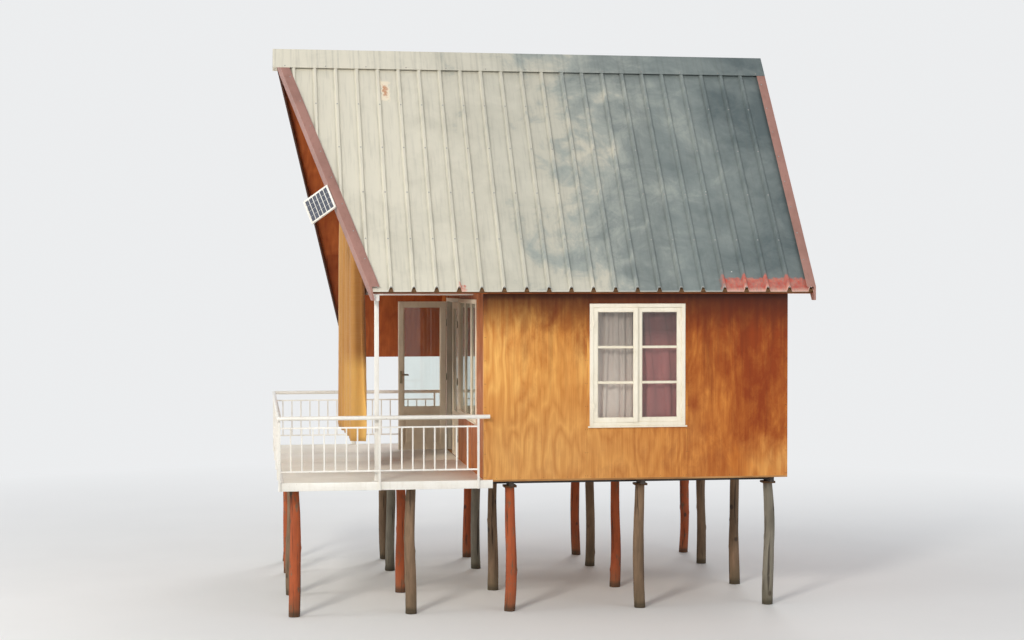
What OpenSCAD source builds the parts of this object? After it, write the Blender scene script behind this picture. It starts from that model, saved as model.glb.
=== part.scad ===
// Stilt house: a one-room plywood house with a loft under a steep roof, a veranda and
// round log stilts. Millimetres, +Z up. The origin lies on the ground in the middle of
// the whole house: -Y is the gable front with the veranda, +X is the tall side wall.

/* [House] */
// Width of the house across its side walls
house_w = 4880; // [4600:10:5200]
// Length of the house from its front wall to its rear wall
house_l = 3660; // [3300:10:4200]
// Height of the floor above the feet of the stilts
floor_h = 1580; // [1300:10:1900]
// Thickness of the outer walls
wall_t = 80; // [60:5:110]
// Height of the wall between the heads of the front openings and the loft floor
head_h = 140; // [100:5:180]
// Thickness of the floor boards
board_t = 20; // [15:1:25]

/* [Roof] */
// Pitch of both roof slopes, in degrees
pitch = 52; // [50:0.5:54]
// Height of the lining's underside at the ridge above the floor
ridge_rise = 5090; // [4950:10:5250]
// Distance of the ridge from the middle of the house, towards the right wall
ridge_shift = 250; // [150:10:320]
// Overhang of the right eave past the right wall
eave_right = 150; // [120:10:250]
// Overhang of the left eave past the left wall
eave_left = 380; // [300:10:450]
// Reach of the roof's nose ahead of the front wall, at the ridge
nose_reach = 2400; // [2390:5:2600]
// Height of the plumb cut at the nose, measured along the ridge
nose_cut = 40; // [20:5:60]
// Reach of the verges ahead of the front wall, at the eaves
verge_reach = 1300; // [1260:10:1400]
// Reach of the roof behind the rear wall
rear_reach = 300; // [200:10:400]
// Thickness of the plywood lining
lining_t = 12; // [9:1:18]
// How far the lining stops short of the eaves
lining_short = 60; // [30:5:100]
// Side of the square purlins
purlin_s = 50; // [40:5:60]
// Largest distance between purlins down a slope
purlin_gap = 800; // [600:50:1000]
// Thickness of the roof sheets
sheet_t = 3; // [2:0.5:4]
// Height of a rib over the underside of the sheet
rib_h = 35; // [25:1:40]
// Distance from rib to rib
rib_gap = 262.5; // [240:0.5:300]
// Width of a rib at its foot
rib_foot_w = 62; // [50:1:80]
// Width of a rib at its top
rib_top_w = 26; // [20:1:40]
// Distance of the first rib behind the front wall
rib_start = 222; // [150:1:250]
// Thickness of the verge boards
verge_t = 25; // [18:1:30]
// Depth of the verge boards below the rib tops
verge_drop = 170; // [150:5:200]
// Width of the flashing on top of the verge
flashing_w = 110; // [90:5:140]
// Thickness of the flashings
flashing_t = 3; // [2:0.5:4]
// Width of each wing of the ridge cap
cap_w = 190; // [150:5:240]

/* [Deck] */
// Depth of the deck ahead of the front wall
deck_d = 2350; // [2300:10:2360]
// How far the deck's edge stands out past the side walls
deck_out = 45; // [42:1:60]
// Height of the edge channels
channel_h = 95; // [90:1:120]
// Width of the flanges of the edge channels
channel_w = 40; // [35:1:40]
// Thickness of the edge channels
channel_t = 4; // [3:0.5:5]
// How far the side channels run on past the front wall
channel_past = 100; // [50:10:200]
// Width of the bearers and joists
joist_w = 50; // [40:5:60]
// Number of joists across the floor
joist_n = 6; // [5:1:8]
// How far the bearers under the house stay back from its side walls
bearer_back = 60; // [40:5:100]

/* [Stilts] */
// Distance of the first row of stilts behind the deck's front edge
first_row = 160; // [120:10:240]
// Distance between the two rows under the deck
deck_span = 1360; // [1200:10:1450]
// Distance from the last row under the deck to the first row under the house
wall_span = 1170; // [1000:10:1250]
// Distance between the rows under the house
house_span = 1575; // [1400:5:1600]
// Number of rows under the house
house_rows = 3; // [2:1:3]
// Distance of the first stilt of a row from the right wall
first_col = 244; // [200:1:300]
// Distances between the stilts of a row, from right to left
col_span_1 = 1464; // [1300:1:1550]
col_span_2 = 1708; // [1500:1:1750]
col_span_3 = 1024; // [900:1:1100]
// Radius of a stilt at its head
stilt_head_r = 58; // [50:1:70]
// Radius of a stilt at its foot
stilt_foot_r = 66; // [55:1:80]
// Largest sideways bow of a stilt
stilt_bow = 18; // [0:1:40]
// Thickness of the packers between stilts and bearers
packer_t = 25; // [15:1:40]
// Side of a packer
packer_s = 150; // [130:5:180]

/* [Railings] */
// Height of the middle of the top rail above the floor
rail_h = 745; // [700:5:850]
// Diameter of the top rail
rail_d = 48; // [40:1:50]
// Height of the upper rail above the floor
upper_h = 634; // [600:1:660]
// Height of the lower rail above the floor
lower_h = 135; // [100:1:160]
// Side of the upper and lower rails
bar_s = 18; // [16:1:22]
// Side of a baluster
baluster_s = 16; // [12:1:18]
// Largest distance between balusters
baluster_gap = 140; // [120:1:160]
// Side of a railing post
post_s = 25; // [22:1:30]
// How far the side top rails run on past the front wall
rail_past = 65; // [30:5:90]
// Distance of the last side post ahead of the front wall
last_post = 70; // [50:5:100]

/* [Veranda frame] */
// Side of the square steel tubes
tube_s = 50; // [40:1:60]
// Distance of the frame's front face ahead of the front wall
frame_y = 1270; // [1250:5:1290]
// Height of the collar tube above the floor
collar_h = 3750; // [3600:10:3900]
// Distance of the balcony's right end from the right wall
balcony_right = 976; // [900:10:1100]
// Distance of the balcony's left end from the right wall
balcony_left = 3709; // [3500:10:3800]
// Height of a balcony railing's top rail above the loft floor
balcony_rail_h = 745; // [680:5:760]

/* [Windows and doors] */
// Width of the casement windows
win_w = 1150; // [1000:10:1250]
// Height of the casement windows in the tall walls
win_h = 1440; // [1300:10:1500]
// Height of the casement window in the low wall
low_win_h = 860; // [700:10:920]
// Height of the window sills above the floor
sill_h = 615; // [580:5:640]
// Distance of the side windows' middle behind the front wall
win_y = 1830; // [1700:10:2000]
// Width of a window frame's members
win_frame_w = 45; // [35:1:55]
// How far the window frames stand out of the wall
win_out = 15; // [10:1:25]
// Width of a sash's members
sash_w = 50; // [40:1:60]
// Depth of a sash
sash_d = 35; // [30:1:45]
// Gap between the two sashes of a window
sash_gap = 3; // [2:0.5:5]
// Thickness of the glass
glass_t = 4; // [3:0.5:6]
// Angle at which the front sash of the right window stands ajar, in degrees
ajar = 4; // [0:0.5:6]
// Distance of the front window's right edge from the right wall
front_win_x = 650; // [600:10:750]
// Width of the front window
front_win_w = 1800; // [1600:10:1850]
// Height of the front window
front_win_h = 1485; // [1400:5:1500]
// Width of the wall between the front window and the doorway
door_post_w = 110; // [80:5:150]
// Width of the doorway in the wall
door_w = 1430; // [1300:10:1450]
// Height of the doorway in the wall
door_h = 2100; // [2060:5:2120]
// Width of the door frame's members
door_frame_w = 45; // [40:1:60]
// Thickness of a door leaf
leaf_t = 40; // [30:1:45]
// Clearance round a door leaf
leaf_gap = 6; // [5:0.5:10]
// Width of a door leaf's stiles and rails
stile_w = 75; // [60:1:90]
// Height of the middle of a leaf's lock rail above the floor
lock_rail_h = 550; // [450:10:700]
// Thickness of the panel under the lock rail
panel_t = 18; // [12:1:24]
// Radius of a hinge's knuckles
knuckle_r = 7; // [5:0.5:8]
// Length of one knuckle
knuckle_l = 45; // [35:1:60]
// Distance of the upper doorway's right edge from the right wall
upper_door_x = 1640; // [1500:10:1700]
// Width of the upper doorway
upper_door_w = 1100; // [900:10:1200]
// Height of the upper doorway
upper_door_h = 1850; // [1800:10:1950]

/* [Curtains and fittings] */
// Distance of the veranda curtain's right edge from the right wall
curtain_x = 1200; // [1150:10:1400]
// Width of the hung veranda curtain
curtain_w = 2000; // [1700:10:2020]
// Height of the veranda curtain's hem above the deck
curtain_hem = 220; // [100:10:350]
// Depth of the veranda curtain's folds
curtain_depth = 300; // [150:5:320]
// Number of folds of the veranda curtain
curtain_folds = 7; // [5:1:12]
// Depth of the window curtains' folds
drape_depth = 50; // [40:1:60]
// Thickness of the curtain cloth's solid
cloth_t = 12; // [8:1:20]
// Length of the solar panel along the verge
panel_l = 360; // [300:5:420]
// Width of the solar panel across the verge
panel_w = 370; // [300:5:400]
// Thickness of the solar panel
panel_d = 22; // [15:1:30]
// Share of the right slope's length at which the solar panel sits
panel_at = 0.58; // [0.5:0.01:0.75]
// Tilt of the solar panel forward out of the roof's plane, in degrees
panel_tilt = 38; // [20:1:50]
// Distance of the lamp inside the right wall's outer face
lamp_in = 155; // [140:5:300]
// Diameter of the lamp's bulb
bulb_d = 60; // [50:1:80]

/* [Hidden] */
$fn = 48;

// Walls and heights, from the origin in the middle of the whole house
eps = 1;
over = 500;
far = 20000;
seat = 0.05;
mid_x = (eave_left - eave_right) / 2;
x_right = mid_x + house_w / 2;
x_left = mid_x - house_w / 2;
y_front = (nose_reach - house_l - rear_reach) / 2;
y_rear = y_front + house_l;
in_right = x_right - wall_t;
in_left = x_left + wall_t;
loft_h = door_h + head_h;
loft_z = floor_h + loft_h;

// Roof: u runs down a slope from the ridge and n stands square on the lining
ridge_x = mid_x + ridge_shift;
ridge_z = floor_h + ridge_rise;
eave_x_right = x_right + eave_right;
eave_x_left = x_left - eave_left;
sheet_n = lining_t + purlin_s;
rib_n = sheet_n + rib_h;
function roof_z(x) = ridge_z - abs(x - ridge_x) * tan(pitch);
function wall_top(x) = roof_z(x) - seat;
function post_top(x) = wall_top(x) - tube_s / cos(pitch);
function roof_run(z) = (ridge_z - z) / tan(pitch) - seat;
function slope_l(side) = (side == "right" ? eave_x_right - ridge_x : ridge_x - eave_x_left) / cos(pitch);
nose_y = y_front - nose_reach;
tail_y = y_rear + rear_reach;
function verge_y(side, u) =
    nose_y + nose_cut + (nose_reach - nose_cut - verge_reach) * u / slope_l(side);
function rake(side) = atan2(nose_reach - nose_cut - verge_reach, slope_l(side));

// Floor frame
channel_top = floor_h + channel_t;
channel_bottom = channel_top - channel_h;
bearer_z = channel_bottom + channel_t;
bearer_h = floor_h - board_t - bearer_z;
stilt_h = bearer_z - packer_t;
deck_y = y_front - deck_d;
deck_x_right = x_right + deck_out;
deck_x_left = x_left - deck_out;
deck_rows = [deck_y + first_row, deck_y + first_row + deck_span];
row_y = concat(deck_rows, [for (k = [0:house_rows - 1]) deck_rows[1] + wall_span + k * house_span]);
first_x = x_right - first_col;
col_x = [first_x, first_x - col_span_1, first_x - col_span_1 - col_span_2,
         first_x - col_span_1 - col_span_2 - col_span_3];

// Railing planes: the posts stand on the outside of the edge channels
rail_y = deck_y - post_s / 2;
rail_x_right = deck_x_right + post_s / 2;
rail_x_left = deck_x_left - post_s / 2;

// Veranda frame and balcony
frame_front = y_front - frame_y;
balcony_x_right = x_right - balcony_right;
balcony_x_left = x_right - balcony_left;
balcony_y = frame_front + tube_s;
balcony_top = loft_z + channel_t;
collar_z = floor_h + collar_h;

// Doors and windows
front_win_right = x_right - front_win_x;
front_win_mid = front_win_right - front_win_w / 2;
front_win_left = front_win_right - front_win_w;
door_right = front_win_left - door_post_w;
door_left = door_right - door_w;
leaf_w = (door_w - 2 * door_frame_w - 3 * leaf_gap) / 2;
leaf_h = door_h - door_frame_w - 2 * leaf_gap;
hinge_back = knuckle_r + 1;
hinge_y = y_front - hinge_back;
hinge_right = door_right - door_frame_w;
hinge_left = door_left + door_frame_w;
knuckle_gap = 0.3;
hinge_z = [250, 1000, 1750];
upper_right = x_right - upper_door_x;
upper_left = upper_right - upper_door_w;

// Helper shapes
module along_y(y0, y1) translate([0, y1, 0]) rotate([90, 0, 0]) linear_extrude(y1 - y0) children();
module block(a, b) translate(a) cube(b - a);

// A crooked round log: rings of points round a bowed centre line, with a level foot and head
log_sides = 10;
log_rings = 6;
function bow(i, t) = stilt_bow * sin(180 * t) * sin(137 * i) + stilt_bow / 2 * sin(360 * t) * sin(71 * i);
function log_r(i, t) = stilt_foot_r + (stilt_head_r - stilt_foot_r) * t + 3 * sin(250 * t + 90 * i);
function log_points(i) = [for (k = [0:log_rings - 1], a = [0:log_sides - 1])
    let (t = k / (log_rings - 1), w = 360 * a / log_sides, r = log_r(i, t) + 2 * sin(3 * w + 40 * i))
    [bow(i, t) + r * cos(w), bow(i + 3, t) + r * sin(w), stilt_h * t]];
function ring(k) = [for (a = [0:log_sides - 1]) k * log_sides + a];
function turned(list) = [for (k = [len(list) - 1:-1:0]) list[k]];
log_walls = [for (k = [0:log_rings - 2], a = [0:log_sides - 1], half = [0, 1])
    let (b = (a + 1) % log_sides, low = k * log_sides, high = low + log_sides)
    half == 0 ? [low + a, high + a, high + b] : [low + a, high + b, low + b]];
module stilt(i) {
    polyhedron(points = log_points(i), faces = concat([ring(0)], log_walls, [turned(ring(log_rings - 1))]));
}
module stilts(first, last) {
    for (r = [first:last], c = [0:len(col_x) - 1])
        translate([col_x[c], row_y[r], 0]) stilt(r * len(col_x) + c);
}
module deck_stilts() {
    color("indianred") stilts(0, len(deck_rows) - 1);
}
module house_stilts() {
    color("rosybrown") stilts(len(deck_rows), len(row_y) - 1);
}
module stilt_packers() {
    color("peru")
        for (x = col_x, y = row_y)
            translate([x - packer_s / 2, y - packer_s / 2, stilt_h]) cube([packer_s, packer_s, packer_t]);
}

// Floor frame: bearers over the rows of stilts, joists between them
function bearer_ends(y) = y < y_front
    ? [deck_x_left + channel_t, deck_x_right - channel_t] : [x_left + bearer_back, x_right - bearer_back];
module floor_bearers() {
    color("dimgray")
        for (y = row_y)
            block([bearer_ends(y)[0], y - joist_w / 2, bearer_z],
                  [bearer_ends(y)[1], y + joist_w / 2, bearer_z + bearer_h]);
}
joist_y = concat([deck_y + channel_t - joist_w / 2], row_y, [y_rear - bearer_back + joist_w / 2]);
function joist_x(k) = x_left + (k + 0.5) * house_w / joist_n;
module floor_joists() {
    color("dimgray")
        for (k = [0:joist_n - 1], r = [0:len(joist_y) - 2])
            block([joist_x(k) - joist_w / 2, joist_y[r] + joist_w / 2, bearer_z],
                  [joist_x(k) + joist_w / 2, joist_y[r + 1] - joist_w / 2, bearer_z + bearer_h]);
}
module house_floor() {
    color("burlywood") block([x_left, y_front, floor_h - board_t], [x_right, y_rear, floor_h]);
}
module deck_floor() {
    color("gainsboro")
        block([deck_x_left + channel_t, deck_y + channel_t, floor_h - board_t],
              [deck_x_right - channel_t, y_front, floor_h]);
}

// Edge channels: a web outside and two flanges that point inwards
module channel_profile() {
    polygon([[0, 0], [channel_w, 0], [channel_w, channel_t], [channel_t, channel_t],
             [channel_t, channel_h - channel_t], [channel_w, channel_h - channel_t],
             [channel_w, channel_h], [0, channel_h]]);
}
module channel(l) {
    rotate([90, 0, 90]) linear_extrude(l) channel_profile();
}
module mitre(x, y, turn) {
    translate([x, y, 0]) rotate([0, 0, turn]) translate([0, -far / 2, 0]) cube([far, far, far]);
}
module deck_channel_front() {
    color("white")
        difference() {
            translate([deck_x_left, deck_y, channel_bottom]) channel(deck_x_right - deck_x_left);
            mitre(deck_x_right, deck_y, 45);
            mitre(deck_x_left, deck_y, 135);
        }
}
module deck_channel_side(l) {
    translate([0, 0, channel_bottom]) mirror([1, 0, 0]) rotate([90, 0, 0]) mirror([0, 0, 1])
        linear_extrude(l) channel_profile();
}
module deck_channel_right() {
    color("white")
        difference() {
            translate([deck_x_right, deck_y, 0]) deck_channel_side(deck_d + channel_past);
            mitre(deck_x_right, deck_y, 225);
        }
}
module deck_channel_left() {
    color("white")
        difference() {
            translate([deck_x_left, deck_y, 0]) mirror([1, 0, 0]) deck_channel_side(deck_d + channel_past);
            mitre(deck_x_left, deck_y, 315);
        }
}

// A railing panel along +X: two thin rails, balusters and posts, its top rail apart
function fit_count(l, gap) = ceil(l / gap);
module rail_bars(l, bays, drop, h_top) {
    step = l / (bays * fit_count(l / bays, baluster_gap));
    n = bays * fit_count(l / bays, baluster_gap);
    upper = upper_h - rail_h + h_top;
    for (z = [lower_h, upper])
        block([0, -bar_s / 2, z - bar_s / 2], [l, bar_s / 2, z + bar_s / 2]);
    for (k = [1:n - 1])
        block([k * step - baluster_s / 2, -baluster_s / 2, lower_h],
              [k * step + baluster_s / 2, baluster_s / 2, upper]);
    for (k = [0:bays])
        block([k * l / bays - post_s / 2, -post_s / 2, -drop],
              [k * l / bays + post_s / 2, post_s / 2, h_top]);
}
module top_rail(x0, x1, h) {
    translate([x0, 0, h]) rotate([0, 90, 0]) cylinder(d = rail_d, h = x1 - x0);
}
post_drop = floor_h - channel_bottom;
module railing_front() {
    color("white")
        difference() {
            translate([rail_x_left, rail_y, floor_h]) {
                rail_bars(rail_x_right - rail_x_left, 4, post_drop, rail_h);
                top_rail(-rail_d, rail_x_right - rail_x_left + rail_d, rail_h);
            }
            translate([0, 0, floor_h + rail_h - rail_d]) {
                mitre(rail_x_right, rail_y, 45);
                mitre(rail_x_left, rail_y, 135);
            }
        }
}
module railing_side() {
    l = y_front - last_post - rail_y;
    translate([0, 0, floor_h]) rotate([0, 0, 90]) difference() {
        union() {
            rail_bars(l, 2, post_drop, rail_h);
            top_rail(-rail_d, l + last_post + rail_past, rail_h);
        }
        block([-far, -far, rail_h - far], [post_s / 2, far, rail_h - rail_d / 2 - eps]);
    }
}
module railing_right() {
    color("white")
        difference() {
            translate([rail_x_right, rail_y, 0]) railing_side();
            translate([0, 0, floor_h]) mitre(rail_x_right, rail_y, 225);
        }
}
module railing_left() {
    color("white")
        difference() {
            translate([rail_x_left, rail_y, 0]) railing_side();
            translate([0, 0, floor_h]) mitre(rail_x_left, rail_y, 315);
        }
}

// Roof pieces are drawn on the right slope: x down the slope, z square on the lining
module slope(side) {
    translate([ridge_x, 0, ridge_z]) mirror([side == "left" ? 1 : 0, 0, 0]) rotate([0, pitch, 0]) children();
}
module roof_bounds(side, short, low = 0) {
    if (side == "right") block([ridge_x, nose_y, low], [eave_x_right - short, tail_y, far]);
    else block([eave_x_left + short, nose_y, low], [ridge_x, tail_y, far]);
}
module roof_plan(side, inside) {
    u0 = -over;
    u1 = slope_l(side) + over;
    edge = (inside + seat) / cos(rake(side));
    translate([0, 0, -over]) linear_extrude(2 * over)
        polygon([[u0, verge_y(side, u0) + edge], [u1, verge_y(side, u1) + edge],
                 [u1, tail_y - inside - seat], [u0, tail_y - inside - seat]]);
}
module roof_layer(side, short, inside) {
    intersection() {
        roof_bounds(side, short);
        slope(side) intersection() {
            roof_plan(side, inside);
            children();
        }
    }
}
module lining(side) {
    roof_layer(side, lining_short, verge_t)
        translate([-over, -far / 2, 0]) cube([slope_l(side) + 2 * over, far, lining_t]);
}
module roof_lining_right() {
    color("chocolate") lining("right");
}
module roof_lining_left() {
    color("chocolate") lining("left");
}
module purlins(side) {
    n = ceil(slope_l(side) / purlin_gap);
    first = purlin_s;
    step = (slope_l(side) - first - 3 * purlin_s) / n;
    roof_layer(side, 0, verge_t)
        for (k = [0:n])
            translate([first + k * step, -far / 2, lining_t]) cube([purlin_s, far, purlin_s]);
}
module roof_purlins() {
    color("sienna") {
        purlins("right");
        purlins("left");
    }
}

// Ribbed sheet: a trapezoid at every rib, followed back along its underside
first_rib = -ceil((nose_reach + rib_start) / rib_gap);
last_rib = ceil((house_l + rear_reach - rib_start) / rib_gap);
function rib_y(k) = y_front + rib_start + k * rib_gap;
sheet_top = [for (k = [first_rib:last_rib], p = [[-rib_foot_w / 2, sheet_t], [-rib_top_w / 2, rib_h],
    [rib_top_w / 2, rib_h], [rib_foot_w / 2, sheet_t]]) [rib_y(k) + p[0], sheet_n + p[1]]];
module sheets(side) {
    start = sheet_n * tan(pitch) - 10;
    roof_layer(side, 0, verge_t)
        translate([-start, 0, 0]) rotate([90, 0, 90]) linear_extrude(slope_l(side) + over)
            polygon(concat(sheet_top, [for (p = turned(sheet_top)) [p[0], p[1] - sheet_t]]));
}
module roof_sheets_right() {
    color("lightsteelblue") sheets("right");
}
module roof_sheets_left() {
    color("lightsteelblue") sheets("left");
}

// Ridge cap: a folded strip that lies over both slopes
function cap_point(u, n) = [u * cos(pitch) + n * sin(pitch), n * cos(pitch) - u * sin(pitch)];
cap_n = rib_n + flashing_t;
cap_low = cap_point(cap_w, cap_n);
cap_high = cap_point(cap_w, cap_n + flashing_t);
module ridge_cap() {
    color("slategray")
        translate([ridge_x, 0, ridge_z]) along_y(nose_y, tail_y)
            polygon([[0, cap_n / cos(pitch)], cap_low, cap_high, [0, (cap_n + flashing_t) / cos(pitch)],
                     [-cap_high[0], cap_high[1]], [-cap_low[0], cap_low[1]]]);
}

// Verge trims: a board along each verge under a flashing that folds over the sheets. The
// boards are cut level at the eaves.
module verge_profile() {
    polygon([[0, cap_n - verge_drop], [verge_t, cap_n - verge_drop], [verge_t, rib_n],
             [flashing_w, rib_n], [flashing_w, cap_n], [0, cap_n]]);
}
module verge_trim(side) {
    l = slope_l(side) + 2 * over;
    intersection() {
        roof_bounds(side, 0, roof_z(side == "right" ? eave_x_right : eave_x_left));
        slope(side) {
            translate([0, verge_y(side, 0), 0]) rotate([0, 0, rake(side)]) translate([-over, 0, 0])
                rotate([90, 0, 90]) linear_extrude(l) verge_profile();
            translate([-over, tail_y, 0]) mirror([0, 1, 0])
                rotate([90, 0, 90]) linear_extrude(l) verge_profile();
        }
    }
}
module verge_trim_right() {
    color("rosybrown") verge_trim("right");
}
module verge_trim_left() {
    color("saddlebrown") verge_trim("left");
}

// Veranda frame: posts under the roof's edge, rafters along the whole lining, a collar between them
module frame_post(x) {
    along_y(frame_front, frame_front + tube_s)
        polygon([[x, floor_h], [x + tube_s, floor_h], [x + tube_s, post_top(x + tube_s)], [x, post_top(x)]]);
}
module veranda_posts() {
    color("white") {
        frame_post(x_right - tube_s);
        frame_post(x_left);
    }
}
module rafter_tube(side) {
    intersection() {
        roof_bounds(side, lining_short);
        slope(side) translate([-over, frame_front, -tube_s]) cube([slope_l(side) + over, tube_s, tube_s]);
    }
}
module rafter_tube_right() {
    color("white") rafter_tube("right");
}
module rafter_tube_left() {
    color("white") rafter_tube("left");
}
module collar_tube() {
    low = roof_run(collar_z - tube_s / 2 + tube_s / cos(pitch));
    high = roof_run(collar_z + tube_s / 2 + tube_s / cos(pitch));
    color("white")
        translate([ridge_x, 0, collar_z - tube_s / 2]) along_y(frame_front, frame_front + tube_s)
            polygon([[-low, 0], [low, 0], [high, tube_s], [-high, tube_s]]);
}

// Balcony: a board floor in an edge channel, hung from the rafters at its front corners
module balcony_floor() {
    joist_h = channel_h - 2 * channel_t - board_t;
    bays = 4;
    inner = balcony_x_right - balcony_x_left - 2 * channel_t;
    color("sandybrown") {
        block([balcony_x_left + channel_t, balcony_y + channel_t, loft_z - board_t],
              [balcony_x_right - channel_t, y_front, loft_z]);
        for (k = [1:bays - 1])
            translate([balcony_x_left + channel_t + k * inner / bays - joist_w / 2,
                       balcony_y + channel_t, loft_z - board_t - joist_h])
                cube([joist_w, y_front - balcony_y - channel_t, joist_h]);
    }
}
module balcony_channel() {
    w = balcony_x_right - balcony_x_left;
    color("white")
        translate([0, 0, balcony_top - channel_h]) difference() {
            block([balcony_x_left, balcony_y, 0], [balcony_x_right, y_front, channel_h]);
            block([balcony_x_left + channel_t, balcony_y + channel_t, channel_t],
                  [balcony_x_right - channel_t, y_front + eps, channel_h - channel_t]);
            block([balcony_x_left + channel_w, balcony_y + channel_w, -eps],
                  [balcony_x_right - channel_w, y_front + eps, channel_h + eps]);
        }
}
balcony_drop = loft_z - balcony_top + channel_h;
module balcony_railing_front() {
    l = balcony_x_right - balcony_x_left - 2 * tube_s;
    color("white")
        translate([balcony_x_left + tube_s, balcony_y - post_s / 2, loft_z]) difference() {
            union() {
                rail_bars(l, 3, balcony_drop, balcony_rail_h);
                top_rail(0, l, balcony_rail_h);
            }
            block([-far, -far, -far], [0, far, far]);
            block([l, -far, -far], [l + far, far, far]);
        }
}
module balcony_railing_side(x) {
    l = y_front - frame_front - tube_s;
    translate([x, y_front - l, loft_z]) rotate([0, 0, 90]) difference() {
        union() {
            rail_bars(l, 1, -channel_t, balcony_rail_h);
            top_rail(0, l, balcony_rail_h);
        }
        block([-far, -far, -far], [0, far, far]);
        block([l, -far, -far], [l + far, far, far]);
    }
}
module balcony_railing_right() {
    color("white") balcony_railing_side(balcony_x_right - tube_s / 2);
}
module balcony_railing_left() {
    color("white") balcony_railing_side(balcony_x_left + tube_s / 2);
}
module balcony_post(x) {
    along_y(frame_front, balcony_y)
        polygon([[x, balcony_top - channel_h], [x + tube_s, balcony_top - channel_h],
                 [x + tube_s, post_top(x + tube_s)], [x, post_top(x)]]);
}
module balcony_posts() {
    color("white") {
        balcony_post(balcony_x_right - tube_s);
        balcony_post(balcony_x_left);
    }
}

// Loft floor: boards on joists that run from the right wall to the left slope
loft_joist_h = 80;
loft_bays = 5;
module loft_section(z0, z1) {
    polygon([[ridge_x - roof_run(z0), z0], [in_right, z0], [in_right, z1], [ridge_x - roof_run(z1), z1]]);
}
module loft_floor() {
    y0 = y_front + wall_t;
    y1 = y_rear - wall_t;
    color("burlywood") {
        along_y(y0, y1) loft_section(loft_z - board_t, loft_z);
        for (k = [0:loft_bays])
            translate([0, y0 + k * (y1 - y0 - joist_w) / loft_bays, 0])
                along_y(0, joist_w) loft_section(loft_z - board_t - loft_joist_h, loft_z - board_t);
    }
}

// Windows stand in their wall: x along the wall, y into it from the outer face
module at_right(z) {
    translate([x_right, y_front + win_y, floor_h + z]) rotate([0, 0, 90]) children();
}
module at_left(z) {
    translate([x_left, y_front + win_y, floor_h + z]) rotate([0, 0, -90]) children();
}
module at_rear(z) {
    translate([mid_x, y_rear, floor_h + z]) rotate([0, 0, 180]) children();
}
module at_front(z) {
    translate([front_win_mid, y_front, floor_h + z]) children();
}
module hole(w, h) {
    block([-w / 2, -eps, 0], [w / 2, wall_t + eps, h]);
}

// Walls
module side_wall(xo, xi) {
    along_y(y_front, y_rear)
        polygon([[xo, floor_h], [xi, floor_h], [xi, wall_top(xi)], [xo, wall_top(xo)]]);
}
module right_wall() {
    color("peru")
        difference() {
            side_wall(x_right, in_right);
            at_right(sill_h) hole(win_w, win_h);
        }
}
module left_wall() {
    color("peru")
        difference() {
            side_wall(x_left, in_left);
            at_left(sill_h) hole(win_w, low_win_h);
        }
}
module gable_wall(y0, z0) {
    along_y(y0, y0 + wall_t)
        polygon([[in_left, z0], [in_right, z0], [in_right, wall_top(in_right)], [ridge_x, wall_top(ridge_x)],
                 [in_left, wall_top(in_left)]]);
}
module rear_wall() {
    color("peru")
        difference() {
            gable_wall(y_rear - wall_t, floor_h);
            at_rear(sill_h) hole(win_w, win_h);
        }
}
module front_piece(x0, x1, z0, z1) {
    intersection() {
        gable_wall(y_front, floor_h);
        block([x0, y_front - eps, z0], [x1, y_front + wall_t + eps, z1]);
    }
}
module front_wall_panels() {
    color("peru") {
        front_piece(front_win_right, in_right, floor_h, loft_z);
        front_piece(door_right, front_win_left, floor_h, floor_h + door_h);
        front_piece(in_left, door_left, floor_h, loft_z);
    }
}
module front_wall_base() {
    color("peru")
        front_piece(front_win_left, front_win_right, floor_h, floor_h + door_h - front_win_h);
}
module front_wall_head() {
    color("peru") front_piece(door_left, front_win_right, floor_h + door_h, loft_z);
}
module front_gable() {
    color("peru")
        difference() {
            intersection() {
                gable_wall(y_front, floor_h);
                block([-far, -far, loft_z], [far, far, far]);
            }
            block([upper_left, y_front - eps, loft_z - eps],
                  [upper_right, y_front + wall_t + eps, loft_z + upper_door_h]);
        }
}

// Window frames, their two sashes and glass
module window_frame(w, h) {
    f = win_frame_w;
    difference() {
        block([-w / 2, -win_out, 0], [w / 2, wall_t, h]);
        block([f - w / 2, -win_out - eps, f], [w / 2 - f, wall_t + eps, h - f]);
    }
}
function sash_size(w, h) = [(w - 2 * win_frame_w - sash_gap) / 2, h - 2 * win_frame_w];
module at_sashes(w, turn) {
    translate([win_frame_w - w / 2, 0, win_frame_w]) rotate([0, 0, -turn]) children();
    translate([sash_gap / 2, 0, win_frame_w]) children();
}
module sash_pair(w, h, turn) {
    s = sash_size(w, h);
    at_sashes(w, turn) difference() {
        cube([s[0], sash_d, s[1]]);
        block([sash_w, -eps, sash_w], [s[0] - sash_w, sash_d + eps, s[1] - sash_w]);
    }
}
module sash_glass(w, h, turn) {
    s = sash_size(w, h);
    at_sashes(w, turn) block([sash_w, (sash_d - glass_t) / 2, sash_w],
                             [s[0] - sash_w, (sash_d + glass_t) / 2, s[1] - sash_w]);
}
module window_frames() {
    color("ivory") {
        at_right(sill_h) window_frame(win_w, win_h);
        at_rear(sill_h) window_frame(win_w, win_h);
        at_left(sill_h) window_frame(win_w, low_win_h);
    }
}
module window_sashes() {
    color("ivory") {
        at_right(sill_h) sash_pair(win_w, win_h, ajar);
        at_rear(sill_h) sash_pair(win_w, win_h, 0);
        at_left(sill_h) sash_pair(win_w, low_win_h, 0);
    }
}
module front_window_frame() {
    bar = sash_w / 2;
    color("ivory")
        at_front(door_h - front_win_h) {
            window_frame(front_win_w, front_win_h);
            for (x = [-front_win_w / 6, front_win_w / 6])
                block([x - bar, 0, win_frame_w - eps], [x + bar, sash_d, front_win_h - win_frame_w + eps]);
        }
}
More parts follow.
